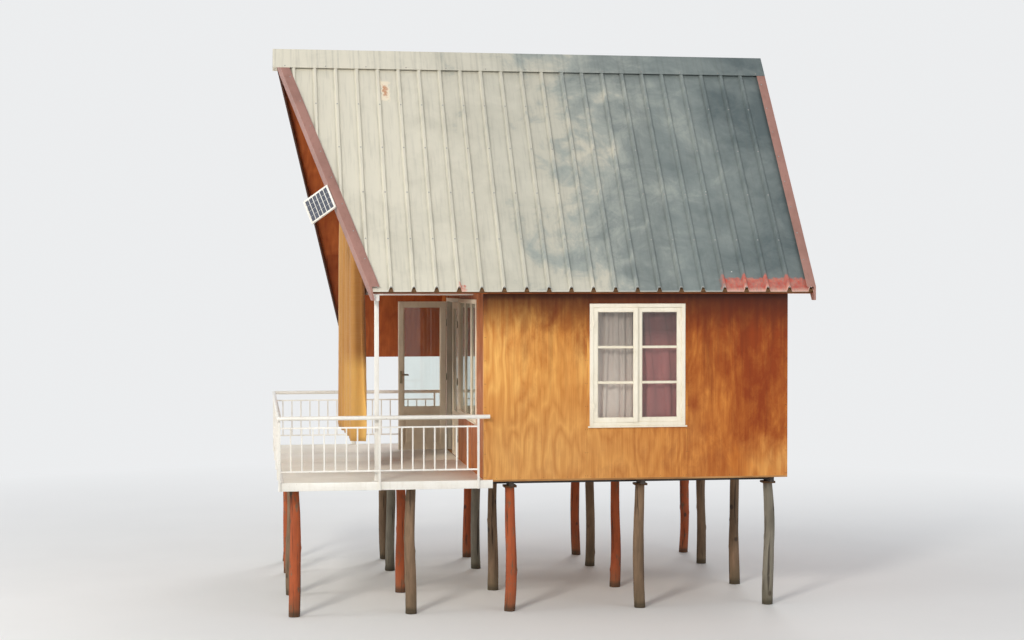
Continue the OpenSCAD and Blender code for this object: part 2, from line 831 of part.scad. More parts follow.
module front_panes() {
    bar = sash_w / 2;
    edge = front_win_w / 2 - win_frame_w;
    for (p = [[-edge, -front_win_w / 6 - bar], [bar - front_win_w / 6, front_win_w / 6 - bar],
              [front_win_w / 6 + bar, edge]])
        block([p[0], (sash_d - glass_t) / 2, win_frame_w],
              [p[1], (sash_d + glass_t) / 2, front_win_h - win_frame_w]);
}
module window_glass() {
    color("lightblue") {
        at_right(sill_h) sash_glass(win_w, win_h, ajar);
        at_rear(sill_h) sash_glass(win_w, win_h, 0);
        at_left(sill_h) sash_glass(win_w, low_win_h, 0);
        at_front(door_h - front_win_h) front_panes();
        upper_panes();
    }
}

// Double door: x from the hinge to the meeting edge, y into the wall from the hinge axis
module leaf(l) {
    w = leaf_w;
    difference() {
        block([leaf_gap, hinge_back, 0], [leaf_gap + w, hinge_back + leaf_t, l]);
        block([leaf_gap + stile_w, hinge_back - eps, lock_rail_h + stile_w / 2],
              [leaf_gap + w - stile_w, hinge_back + leaf_t + eps, l - stile_w]);
        block([leaf_gap + stile_w, hinge_back - eps, stile_w],
              [leaf_gap + w - stile_w, hinge_back + (leaf_t - panel_t) / 2, lock_rail_h - stile_w / 2]);
        block([leaf_gap + stile_w, hinge_back + (leaf_t + panel_t) / 2, stile_w],
              [leaf_gap + w - stile_w, hinge_back + leaf_t + eps, lock_rail_h - stile_w / 2]);
    }
    for (z = hinge_z)
        translate([0, 0, z + knuckle_gap]) {
            cylinder(r = knuckle_r, h = knuckle_l);
            block([0, hinge_back - 3, 0], [leaf_gap + 25, hinge_back, knuckle_l]);
        }
}
module leaf_glass(l) {
    block([leaf_gap + stile_w, hinge_back + (leaf_t - glass_t) / 2, lock_rail_h + stile_w / 2],
          [leaf_gap + leaf_w - stile_w, hinge_back + (leaf_t + glass_t) / 2, l - stile_w]);
}
module at_hinge_right() {
    translate([hinge_right, hinge_y, floor_h + leaf_gap]) mirror([1, 0, 0]) children();
}
module at_hinge_left() {
    translate([hinge_left, hinge_y, floor_h + leaf_gap]) rotate([0, 0, -90]) children();
}
module door_leaf_right() {
    color("beige") at_hinge_right() leaf(leaf_h);
}
module door_leaf_left() {
    color("beige") at_hinge_left() leaf(leaf_h);
}
module door_glass_right() {
    color("lightblue") at_hinge_right() leaf_glass(leaf_h);
}
module door_glass_left() {
    color("lightblue") at_hinge_left() leaf_glass(leaf_h);
}
module frame_knuckles() {
    for (z = hinge_z)
        translate([0, 0, z - knuckle_l]) {
            cylinder(r = knuckle_r, h = knuckle_l);
            block([-25, hinge_back - 3, 0], [0, hinge_back, knuckle_l]);
        }
}
module door_frame() {
    color("beige") {
        difference() {
            block([door_left, y_front, floor_h], [door_right, y_front + wall_t, floor_h + door_h]);
            block([hinge_left, y_front - eps, floor_h - eps],
                  [hinge_right, y_front + wall_t + eps, floor_h + door_h - door_frame_w]);
        }
        translate([hinge_left, hinge_y, floor_h + leaf_gap]) frame_knuckles();
        translate([hinge_right, hinge_y, floor_h + leaf_gap]) mirror([1, 0, 0]) frame_knuckles();
    }
}

// Upper door onto the balcony: a fixed frame with two glazed lights
upper_light_w = (upper_door_w - 2 * door_frame_w - 3 * stile_w) / 2;
module upper_lights(y0, y1) {
    edge = door_frame_w + stile_w;
    for (x = [upper_left + edge, upper_right - edge - upper_light_w])
        block([x, y0, loft_z + lock_rail_h], [x + upper_light_w, y1, loft_z + upper_door_h - edge]);
}
module upper_door() {
    color("beige")
        difference() {
            block([upper_left, y_front, loft_z], [upper_right, y_front + wall_t, loft_z + upper_door_h]);
            block([upper_left + door_frame_w, y_front + leaf_t, loft_z - eps],
                  [upper_right - door_frame_w, y_front + wall_t + eps, loft_z + upper_door_h - door_frame_w]);
            upper_lights(y_front - eps, y_front + wall_t);
        }
}
module upper_panes() {
    upper_lights(y_front + (leaf_t - glass_t) / 2, y_front + (leaf_t + glass_t) / 2);
}

// Curtains: cloth that runs in even folds, as a closed solid of their depth
fold_steps = 8;
function fold_points(w, depth, folds, side) = [for (k = [0:folds * fold_steps])
    let (t = k / (folds * fold_steps), m = (depth - cloth_t) / 2)
    [w * t, m * cos(360 * folds * t) + side * cloth_t / 2]];
module drape(w, h, depth, folds) {
    linear_extrude(h)
        polygon(concat(fold_points(w, depth, folds, -1), turned(fold_points(w, depth, folds, 1))));
}
drape_over = 60;
drape_clear = 0.3;
module window_drapes(w, h) {
    drape_w = w / 2 + drape_over - 10;
    for (x = [-w / 2 - drape_over, 10])
        translate([x, wall_t + drape_clear + drape_depth / 2, -drape_over])
            drape(drape_w, h + 2 * drape_over, drape_depth, 6);
}
module window_curtains() {
    color("thistle") {
        at_right(sill_h) window_drapes(win_w, win_h);
        at_rear(sill_h) window_drapes(win_w, win_h);
        at_left(sill_h) window_drapes(win_w, low_win_h);
        at_front(door_h - front_win_h) window_drapes(front_win_w - drape_over, front_win_h - drape_over);
    }
}
module veranda_curtain() {
    color("goldenrod")
        translate([x_right - curtain_x - curtain_w, frame_front - drape_clear - curtain_depth / 2,
                   floor_h + curtain_hem])
            drape(curtain_w, collar_h - curtain_hem, curtain_depth, curtain_folds);
}

// Solar panel: it leans out from the right verge board, on a bracket under its upper edge
bracket_w = 60;
bracket_l = 75;
module panel_bracket() {
    foot = -bracket_l;
    reach = bracket_l * [cos(panel_tilt), sin(panel_tilt)];
    translate([(panel_l - bracket_w) / 2, 0, 0]) rotate([90, 0, 90]) linear_extrude(bracket_w)
        polygon([[0, 0], [0, foot], -reach]);
}
module solar_panel() {
    color("midnightblue")
        slope("right") translate([0, verge_y("right", 0), 0]) rotate([0, 0, rake("right")])
            translate([panel_at * slope_l("right"), 0, cap_n - panel_d]) {
                rotate([panel_tilt, 0, 0]) translate([0, -panel_w, 0]) cube([panel_l, panel_w, panel_d]);
                panel_bracket();
            }
}

// Lamp: a holder on the front face of the right rafter tube, with a round bulb under it
module eave_lamp() {
    holder_r = 22;
    holder_h = 40;
    arm = holder_r + 20;
    lamp_x = x_right - lamp_in;
    color("whitesmoke")
        translate([lamp_x, frame_front, roof_z(lamp_x) - tube_s]) {
            rotate([90, 0, 0]) cylinder(r = 10, h = arm);
            translate([0, -arm, 10 - holder_h]) cylinder(r = holder_r, h = holder_h);
            translate([0, -arm, 16 - holder_h - bulb_d / 2]) sphere(d = bulb_d);
        }
}

deck_stilts();
house_stilts();
stilt_packers();
floor_bearers();
floor_joists();
house_floor();
deck_floor();
deck_channel_front();
deck_channel_right();
deck_channel_left();
railing_front();
railing_right();
railing_left();
veranda_posts();
rafter_tube_right();
rafter_tube_left();
collar_tube();
balcony_floor();
balcony_channel();
balcony_railing_front();
balcony_railing_right();
balcony_railing_left();
balcony_posts();
loft_floor();
right_wall();
left_wall();
rear_wall();
front_wall_panels();
front_wall_base();
front_wall_head();
front_gable();
roof_sheets_right();
roof_sheets_left();
roof_lining_right();
roof_lining_left();
roof_purlins();
ridge_cap();
verge_trim_right();
verge_trim_left();
window_frames();
window_sashes();
front_window_frame();
window_glass();
door_frame();
door_leaf_right();
door_leaf_left();
door_glass_right();
door_glass_left();
upper_door();
window_curtains();
veranda_curtain();
solar_panel();
eave_lamp();
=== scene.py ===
"""Stilt house: surfaces, fittings, cloth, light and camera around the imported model."""

import itertools
import math
import random

import bmesh
import bpy
import numpy as np
from mathutils import Matrix, Vector, noise


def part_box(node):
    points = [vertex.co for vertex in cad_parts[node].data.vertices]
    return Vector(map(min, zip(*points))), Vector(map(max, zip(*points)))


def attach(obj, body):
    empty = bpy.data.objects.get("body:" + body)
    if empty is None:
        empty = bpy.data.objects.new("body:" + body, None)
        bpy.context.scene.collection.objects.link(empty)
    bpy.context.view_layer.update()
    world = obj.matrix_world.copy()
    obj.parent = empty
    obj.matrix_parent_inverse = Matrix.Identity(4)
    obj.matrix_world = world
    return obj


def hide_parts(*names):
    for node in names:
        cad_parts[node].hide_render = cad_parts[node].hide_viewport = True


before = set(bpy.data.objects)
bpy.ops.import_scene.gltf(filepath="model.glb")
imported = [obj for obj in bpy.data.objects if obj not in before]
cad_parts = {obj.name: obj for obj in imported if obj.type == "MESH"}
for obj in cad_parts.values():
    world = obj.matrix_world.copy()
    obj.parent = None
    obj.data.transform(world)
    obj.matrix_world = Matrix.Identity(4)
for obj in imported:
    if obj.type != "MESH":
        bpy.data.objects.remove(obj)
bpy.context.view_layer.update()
scene = bpy.context.scene

# Places read off the frame, in metres
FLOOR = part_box("house_floor")[1].z
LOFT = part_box("loft_floor")[1].z
X_LEFT, X_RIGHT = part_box("left_wall")[0].x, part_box("right_wall")[1].x
Y_FRONT, Y_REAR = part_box("right_wall")[0].y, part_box("right_wall")[1].y
WALL_T = X_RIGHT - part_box("right_wall")[0].x
MID = Vector(((X_LEFT + X_RIGHT) / 2, (Y_FRONT + Y_REAR) / 2, FLOOR))
RIDGE_X = (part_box("ridge_cap")[0].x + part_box("ridge_cap")[1].x) / 2
RIDGE_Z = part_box("front_gable")[1].z
NOSE_Y, TAIL_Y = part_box("ridge_cap")[0].y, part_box("ridge_cap")[1].y
EAVE_X = {"right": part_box("roof_sheets_right")[1].x, "left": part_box("roof_sheets_left")[0].x}

# The roof, in metres. RIB_N and CAP_N are the heights of the ribs and of the cap over the lining.
PITCH = math.radians(52)
RIB_N, CAP_N = 0.097, 0.100
CAP_REACH, TRIM_REACH, TRIM_MID = 0.16, 0.13, 0.075
RIB_GAP, RIB_START = 0.2625, 0.222
NOSE_CUT, VERGE_REACH = 0.040, 1.300
PANEL_D, PANEL_TILT = 0.022, math.radians(38)

# Building sheets and fixings. A screw is (radius, height, washer's radius).
SHEET_W, SHEET_L = 1.22, 2.44
SEAM_W, SEAM_D = 0.003, 0.003
SEAMS_X = [X_LEFT + k * SHEET_W for k in range(1, 4)]
NAIL_GAP, NAIL_IN = 0.30, 0.012
SHEET_SCREW = (0.0055, 0.005, 0.010)
TRIM_SCREW = (0.0055, 0.004, 0.009)
PLATE_SCREW = (0.007, 0.006, 0.011)
HINGE_SCREW = (0.004, 0.0005, 0)

# Windows and doors
FRAME_W, SASH_W, SASH_D, GLASS_T, BAR_W = 0.045, 0.050, 0.035, 0.004, 0.018
WIN_OUT = 0.015
LEAF_T, LEAF_GAP, STILE_W, LOCK_RAIL, PANEL_T = 0.040, 0.006, 0.075, 0.550, 0.018
KNUCKLE_R, KNUCKLE_L, KNUCKLE_GAP, HINGE_T = 0.007, 0.045, 0.0003, 0.003
HINGE_BACK = KNUCKLE_R + 0.001
HINGE_Z = (0.25, 1.0, 1.75)

STILL = Matrix.Identity(4)
BACKDROP = (0.84, 0.85, 0.86, 1)


# Shader helpers


def srgb(colour):
    """Linear colour from three values of 0 to 255."""
    return tuple(c / 255 / 12.92 if c < 11 else ((c / 255 + 0.055) / 1.055) ** 2.4 for c in colour) + (1.0,)


class Value:
    """A node's output. Arithmetic with it makes new nodes."""

    def __init__(self, look, socket):
        self.look, self.socket = look, socket

    def __add__(self, other):
        return self.look.sum("ADD", self, other)

    def __sub__(self, other):
        return self.look.sum("SUBTRACT", self, other)

    def __rsub__(self, other):
        return self.look.sum("SUBTRACT", other, self)

    def __mul__(self, other):
        return self.look.sum("MULTIPLY", self, other)

    def __truediv__(self, other):
        return self.look.sum("DIVIDE", self, other)

    def __abs__(self):
        return self.look.sum("ABSOLUTE", self)


class Look:
    """The nodes of one procedural material or world, with short names."""

    def __init__(self, name, store=bpy.data.materials, output="OutputMaterial"):
        self.owner = store.new(name)
        self.owner.use_nodes = True
        self.tree = self.owner.node_tree
        self.tree.nodes.clear()
        self.output = self.tree.nodes.new("ShaderNode" + output)
        self.place = self.node("TexCoord", output="Object")

    def node(self, kind, inputs=None, output=0, **settings):
        made = self.tree.nodes.new("ShaderNode" + kind)
        for key, value in settings.items():
            setattr(made, key, value)
        for key, value in (inputs or {}).items():
            self.plug(made.inputs[key], value)
        return Value(self, made.outputs[output])

    def plug(self, socket, value):
        """Links a value or sets a constant. A colour of three values is from 0 to 255."""
        if isinstance(value, Value):
            self.tree.links.new(value.socket, socket)
        elif socket.type == "RGBA" and len(value) == 3:
            socket.default_value = srgb(value)
        else:
            socket.default_value = value

    def mapped(self, vector, scale=(1, 1, 1), turn=(0, 0, 0), shift=(0, 0, 0)):
        return self.node("Mapping", {"Vector": vector, "Scale": scale, "Rotation": turn, "Location": shift})

    def parts(self, vector):
        split = self.node("SeparateXYZ", {0: vector}).socket.node
        return [Value(self, socket) for socket in split.outputs]

    def joined(self, x, y, z):
        return self.node("CombineXYZ", {0: x, 1: y, 2: z})

    def noise(self, vector, scale, detail=4.0, rough=0.55, distort=0.0):
        return self.node("TexNoise", {"Vector": vector, "Scale": scale, "Detail": detail,
                                      "Roughness": rough, "Distortion": distort}, "Fac")

    def grain(self, stretch, *settings, shift=(0, 0, 0)):
        """Noise that is drawn out upright."""
        return self.noise(self.mapped(self.place, (1, 1, stretch), shift=shift), *settings)

    def cells(self, vector, scale):
        """The distance to the middle of the nearest cell."""
        return self.node("TexVoronoi", {"Vector": vector, "Scale": scale}, "Distance")

    def dice(self, value):
        return self.node("TexWhiteNoise", {"W": value}, noise_dimensions="1D")

    def sum(self, kind, a, b=0.0):
        return self.node("Math", {0: a, 1: b}, operation=kind)

    def floor(self, value):
        return self.sum("FLOOR", value)

    def fit(self, value, lo, hi, to_lo=0.0, to_hi=1.0):
        return self.node("MapRange", {"Value": value, "From Min": lo, "From Max": hi,
                                      "To Min": to_lo, "To Max": to_hi}, clamp=True)

    def mix(self, share, a, b, blend="MIX"):
        return self.node("Mix", {0: share, 6: a, 7: b}, 2, data_type="RGBA", blend_type=blend,
                         clamp_factor=True)

    def ramp(self, value, *stops):
        made = self.node("ValToRGB", {0: value})
        line = made.socket.node.color_ramp.elements
        while len(line) < len(stops):
            line.new(0.5)
        for element, (at, colour) in zip(line, stops):
            element.position, element.color = at, srgb(colour)
        return made

    def near(self, value, centre, half, soft):
        """1 within half of centre, fading to 0 over soft."""
        return self.fit(abs(value - centre), half, half + soft, 1.0, 0.0)

    def bump(self, height, distance, strength):
        return self.node("Bump", {"Height": height, "Distance": distance, "Strength": strength})

    def solid(self, colour, rough, normal=None, **sockets):
        wanted = {"Base Color": colour, "Roughness": rough}
        if normal is not None:
            wanted["Normal"] = normal
        wanted.update({key.replace("_", " "): value for key, value in sockets.items()})
        return self.node("BsdfPrincipled", wanted)

    def over(self, under, colour, value, lo, hi, share=1.0):
        """A colour over another, up to a share of it, as the value goes from lo to hi."""
        return self.mix(self.fit(value, lo, hi, 0.0, share), under, colour)

    def blend(self, share, a, b):
        return self.node("MixShader", {0: share, 1: a, 2: b})

    def seen(self):
        """1 for rays from the camera, off a mirror or through glass."""
        camera_ray, *others = (self.node("LightPath", output=f"Is {kind} Ray")
                               for kind in ("Camera", "Glossy", "Transmission"))
        for ray in others:
            camera_ray = self.sum("MAXIMUM", camera_ray, ray)
        return camera_ray

    def done(self, shader):
        self.plug(self.output.inputs["Surface"], shader)
        return self.owner


# Materials


def plywood(name, pale, deep, stain, axes, start=(0.0, 0.0), turn=0.0, gloss=0.42, weather=None,
            eave_shadow=None, sun_pools=()):
    """Varnished plywood. axes are (across the sheets, out of the face, along the grain).

    weather is how much darker the varnish gets (with height, towards the rear, all over). The argument after
    it gives the height over the floor of the eave and how dark the painted shadow is that the eave casts over
    the wall's top. The last argument lists pools of painted sunlight on the wall: (y, z, half length, half
    height, share). Such a wall is paler at its foot in front and redder towards the rear.
    """
    k = Look(name)
    split = k.parts(k.mapped(k.place, turn=(0, turn, 0)) if turn else k.place)
    across, out, along = (split[i] for i in axes)
    column, row = k.floor((across - start[0]) / SHEET_W), k.floor((along - start[1]) / SHEET_L)
    tone = k.dice(row * 17.0 + column)
    flat = k.joined(across, out, tone * 9.0 + along)
    rings = k.noise(k.mapped(flat, (1, 1, 0.30)), 1.6, 3.0, 0.5) * 15.0
    rings = abs(k.sum("FRACT", rings) * 2.0 - 1.0)
    fibre = k.noise(k.mapped(flat, (1, 1, 0.03)), 120.0, 3.0, 0.6)
    streak = k.noise(k.mapped(flat, (1, 1, 0.05)), 20.0, 4.0, 0.62)
    wide = k.noise(k.mapped(flat, (1, 1, 0.55)), 1.5, 5.0, 0.6, 0.6)
    patch = k.noise(k.mapped(flat, (1, 1, 0.55), shift=(4, 2, 1)), 4.2, 6.0, 0.68, 0.4)
    grain = rings * 0.20 + fibre * 0.40 + streak * 0.40
    colour = k.over(pale, deep, grain, 0.32, 0.70)
    colour = k.over(colour, k.mix(0.5, deep, stain), patch, 0.44, 0.72, 0.40)
    shade = k.joined(*(k.fit(tone, 0, 1, low, 1.04) for low in (0.92, 0.87, 0.80)))
    colour = k.mix(0.9, colour, shade, "MULTIPLY")
    depth, height = k.parts(k.place)[1:]
    if weather:
        with_height, with_depth, all_over = weather
        up = k.fit(height, FLOOR + 0.35, FLOOR + 2.20)
        back = k.fit(depth, Y_FRONT + 0.9, Y_REAR - 0.6)
        worn = up * with_height + (back * with_depth + all_over)
        for cloud, share in ((wide, 1.8), (patch, 1.5), (streak, 0.5)):
            worn = (cloud - 0.5) * share + worn
        colour = k.over(colour, stain, worn, 0.0, 1.0, 0.92)
        runs = k.noise(k.mapped(flat, (1, 1, 0.04), shift=(2, 0, 3)), 15.0, 4.0, 0.6)
        drip = (runs - 0.5) * 2.6 + (up * 1.1 - 0.62)
        colour = k.over(colour, (104, 46, 20), drip, 0.0, 0.5, 0.38)
    else:
        colour = k.over(colour, stain, wide, 0.40, 0.70, 0.7)
    if sun_pools:
        shown = k.fit(grain, 0.36, 0.66)
        colour = k.mix(back * 0.9, colour, (244, 214, 184), "MULTIPLY")
        foot = k.fit(patch * 0.8 + height, FLOOR + 1.70, FLOOR + 0.80, 0.0, 0.46) * (1.0 - back)
        colour = k.mix(foot, colour, k.mix(shown, (228, 178, 110), (196, 140, 82)))
        ragged = (patch - 0.5) * 0.8
    # Pools of painted sunlight: golden patches where the sun falls on the wall.
    for at_y, at_z, half_y, half_z, share in sun_pools:
        sun_pool = k.near(depth + ragged, at_y, half_y, half_y + 0.3)
        sun_pool = sun_pool * k.near(height + ragged, at_z, half_z, half_z + 0.3)
        colour = k.mix(sun_pool * share, colour, k.mix(shown, (252, 196, 112), (224, 152, 76)))
    # Painted shadow of the eave: the wall darkens towards its top.
    if eave_shadow:
        head = k.fit(height, FLOOR + eave_shadow[0] - 0.58, FLOOR + eave_shadow[0] - 0.12, 0.0, eave_shadow[1])
        colour = k.mix(head, colour, (56, 20, 7))
    rough = k.fit(patch, 0.3, 0.7, gloss - 0.08, gloss + 0.14)
    normal = k.bump(fibre * 0.6 + streak * 0.4, 0.0012, 0.5)
    return k.done(k.solid(colour, rough, normal, Specular_IOR_Level=0.2, Coat_Weight=0.03,
                          Coat_Roughness=0.25))


def roof_paint():
    """Partly faded blue-grey paint under painted sun and tree shade, with dust, peeled primer and droppings.
    """
    k = Look("roof_paint")
    x, y = k.parts(k.place)[:2]
    side = x - RIDGE_X
    down = abs(side) / math.cos(PITCH)
    flat = k.joined(y, down, k.sum("SIGN", side) * 3.0)
    cloud = k.noise(flat, 0.75, 6.0, 0.62, 0.5)
    dapple = k.noise(k.mapped(flat, shift=(7, 1, 0)), 2.6, 6.0, 0.68, 0.7)
    grime = k.noise(k.mapped(flat, (1, 0.06, 1)), 26.0, 4.0, 0.6)
    # Painted sunlight and tree shade: pale beige towards the front and in dapples, blue-grey towards the
    # rear; partly faded paint too.
    sun_and_tree_shade = k.fit(y, NOSE_Y + 0.8, TAIL_Y, -0.42, 0.40) + cloud * 0.85 + dapple * 0.45
    colour = k.ramp(k.fit(sun_and_tree_shade, 0.28, 1.08), (0.0, (222, 216, 198)), (0.35, (203, 198, 181)),
                    (0.48, (166, 170, 162)), (0.63, (136, 143, 139)), (1.0, (80, 91, 92)))
    from_rib = y - (Y_FRONT + RIB_START)
    sheet = k.floor(from_rib / (4 * RIB_GAP))
    colour = k.over(colour, (126, 143, 144), k.dice(sheet), 0, 1, 0.16)
    colour = k.over(colour, (104, 104, 98), grime, 0.5, 0.75, 0.22)
    step = from_rib / RIB_GAP
    off = abs(step - k.sum("ROUND", step)) * RIB_GAP
    # Painted shade: a thin dark line at the foot of each rib, on its shadow side.
    foot = k.near(off, 0.034, 0.004, 0.014) * k.fit(dapple, 0.3, 0.7, 0.05, 0.22)
    colour = k.mix(foot, colour, (84, 88, 86))
    right = k.fit(x, RIDGE_X + 0.1, RIDGE_X + 0.2)
    edge = (k.noise(flat, 22.0, 4.0, 0.7) - 0.5) * 0.16
    to_eave = (EAVE_X["right"] - RIDGE_X) / math.cos(PITCH) - down
    ragged_eave, ragged_y, ragged_down = to_eave + edge, y + edge, down + edge
    colour = k.mix(k.fit(to_eave, 0.0, 0.014, 0.5, 0.0) * right, colour, (226, 224, 214))
    peel = k.fit(ragged_eave, 0.18, 0.21, 1.0, 0.0) * k.fit(ragged_y, 2.02, 2.08)
    small = k.near(ragged_y, -1.04, 0.03, 0.02) * k.fit(ragged_eave, 0.07, 0.09, 1.0, 0.0)
    peel = k.sum("MAXIMUM", peel, small) * right
    flakes = k.fit(k.noise(k.mapped(flat, (1, 0.25, 1)), 60.0, 4.0, 0.7), 0.40, 0.60, 0.62, 1.0)
    primer = k.over((198, 78, 60), (204, 128, 108), k.noise(flat, 14.0), 0.35, 0.65)
    primer = k.mix(k.fit(to_eave, 0.0, 0.06, 0.8, 0.0), primer, (232, 188, 168))
    colour = k.mix(peel * flakes, colour, primer)
    mend_y, mend_down = -1.79, 0.62
    for half_y, half_down, share, filler in ((0.045, 0.15, 0.85, (244, 230, 204)),
                                             (0.014, 0.07, 0.80, (192, 124, 78))):
        spot = k.near(ragged_y, mend_y, half_y, 0.02) * k.near(ragged_down, mend_down, half_down, 0.04)
        colour = k.mix(spot * right * share, colour, filler)
    colour = k.mix(k.fit(k.cells(flat, 2.3), 0.014, 0.022, 1.0, 0.0) * 0.8, colour, (236, 236, 228))
    rust = k.fit(k.noise(k.mapped(flat, shift=(1, 9, 2)), 9.0, 6.0, 0.75), 0.70, 0.78, 0.0, 0.55)
    colour = k.mix(rust, colour, (150, 96, 66))
    dent = k.noise(flat, 1.6, 2.0) + k.noise(flat, 90.0, 2.0) * 0.05
    return k.done(k.solid(colour, k.fit(dapple, 0.3, 0.7, 0.44, 0.62), k.bump(dent, 0.006, 0.6)))


def paint(name, colour, dirt, rough=0.35, dirt_share=0.35, scale=3.0, chips=None):
    """Gloss paint on steel or timber, with dust and small chips."""
    k = Look(name)
    cloud = k.noise(k.place, scale, 5.0, 0.6)
    fine = k.noise(k.place, scale * 22, 4.0, 0.65)
    runs = k.grain(0.12, scale * 9, 3.0, 0.6)
    made = k.over(colour, dirt, cloud, 0.42, 0.75, dirt_share)
    made = k.over(made, dirt, runs, 0.52, 0.80, dirt_share * 0.7)
    if chips:
        made = k.over(made, chips, fine + cloud * 0.22, 0.80, 0.84)
    normal = k.bump(fine + cloud * 2.0, 0.0006, 0.5)
    return k.done(k.solid(made, k.fit(fine, 0.3, 0.7, rough - 0.05, rough + 0.12), normal))


def deck_board():
    """Pale floor sheets: rolled paint, scuffs and dust."""
    pale, dirty = (252, 247, 234), (234, 226, 210)
    k = Look("deck_board")
    sheet = k.floor((k.parts(k.place)[0] - X_LEFT) / SHEET_W)
    cloud = k.noise(k.place, 1.4, 6.0, 0.62, 0.4)
    scuff = k.noise(k.mapped(k.place, (1, 0.25, 1)), 24.0, 5.0, 0.7)
    made = k.over(pale, dirty, cloud, 0.35, 0.75, 0.75)
    made = k.over(made, k.mix(0.6, dirty, (110, 98, 84)), scuff, 0.56, 0.78, 0.35)
    made = k.over(made, dirty, k.dice(sheet), 0, 1, 0.14)
    specks = k.fit(k.cells(k.place, 9.0), 0.03, 0.05, 1.0, 0.0)
    made = k.mix(specks * 0.35, made, (120, 108, 92))
    normal = k.bump(k.noise(k.place, 160.0, 3.0, 0.6) + scuff * 0.8, 0.0008, 0.5)
    return k.done(k.solid(made, k.fit(cloud, 0.3, 0.7, 0.5, 0.7), normal))


def log_wood(name, bare, dark, painted=None):
    """A debarked log with drying cracks, knots and, if painted, flaking red paint."""
    k = Look(name)
    z = k.parts(k.place)[2]
    fibre = k.grain(0.06, 60.0, 5.0, 0.65, 0.2)
    cracks = k.fit(k.grain(0.035, 34.0, 3.0, 0.5, 0.4), 0.60, 0.66)
    cloud = k.grain(0.35, 4.5, 5.0, 0.62)
    made = k.over(bare, dark, cloud, 0.3, 0.7)
    made = k.over(made, k.mix(0.5, dark, (48, 40, 32)), fibre, 0.35, 0.75, 0.5)
    if painted:
        worn = k.grain(0.4, 13.0, 6.0, 0.7, shift=(3, 3, 3))
        keep = k.fit(worn - k.fit(z, FLOOR - 0.35, FLOOR - 0.12) * 0.10, 0.36, 0.44)
        shade = k.over(painted, k.mix(0.5, painted, (96, 42, 26)), cloud, 0.3, 0.7)
        shade = k.over(shade, dark, fibre, 0.4, 0.8, 0.35)
        made = k.mix(keep, made, shade)
    knots = k.cells(k.mapped(k.place, (1, 1, 0.8)), 4.2)
    made = k.mix(k.fit(knots, 0.09, 0.14, 0.80, 0.0), made, (66, 54, 46))
    made = k.mix(cracks * 0.75, made, (40, 31, 24))
    tide = z + k.noise(k.place, 9.0) * 0.06
    made = k.mix(k.fit(tide, 0.07, 0.12, 0.75, 0.0), made, (38, 32, 26))
    made = k.mix(k.fit(tide, 0.12, 0.34, 0.35, 0.0), made, (92, 84, 62))
    return k.done(k.solid(made, 0.82, k.bump(fibre * 0.5 - cracks, 0.004, 0.8), Specular_IOR_Level=0.3))


def sawn_timber(name, pale, deep, axis):
    """Rough sawn timber with its grain along one axis."""
    k = Look(name)
    squeeze = [0.05 if i == axis else 1.0 for i in range(3)]
    fibre = k.noise(k.mapped(k.place, squeeze), 70.0, 4.0, 0.65, 0.2)
    cloud = k.noise(k.place, 3.0, 4.0, 0.6)
    made = k.over(pale, deep, fibre, 0.3, 0.7)
    made = k.over(made, k.mix(0.5, deep, (50, 38, 28)), cloud, 0.4, 0.7, 0.5)
    return k.done(k.solid(made, 0.78, k.bump(fibre, 0.0015, 0.6), Specular_IOR_Level=0.3))


def glass():
    """Clear panes with a shine that grows towards their rim, and a little dust."""
    k = Look("window_glass_clear")
    dust = k.node("BsdfDiffuse", {"Color": (190, 190, 182), "Roughness": 0.5})
    clear = k.node("BsdfTransparent", {"Color": (246, 250, 248)})
    shine = k.node("BsdfGlossy", {"Color": (0.95, 0.97, 0.98, 1), "Roughness": 0.02})
    rim = k.sum("POWER", k.node("LayerWeight", {"Blend": 0.5}, "Facing"), 5.0)
    pane = k.blend(k.fit(rim, 0.0, 1.0, 0.035, 1.0), clear, shine)
    return k.done(k.blend(k.fit(k.grain(0.5, 3.0, 5.0, 0.6), 0.4, 0.8, 0.01, 0.05), pane, dust))


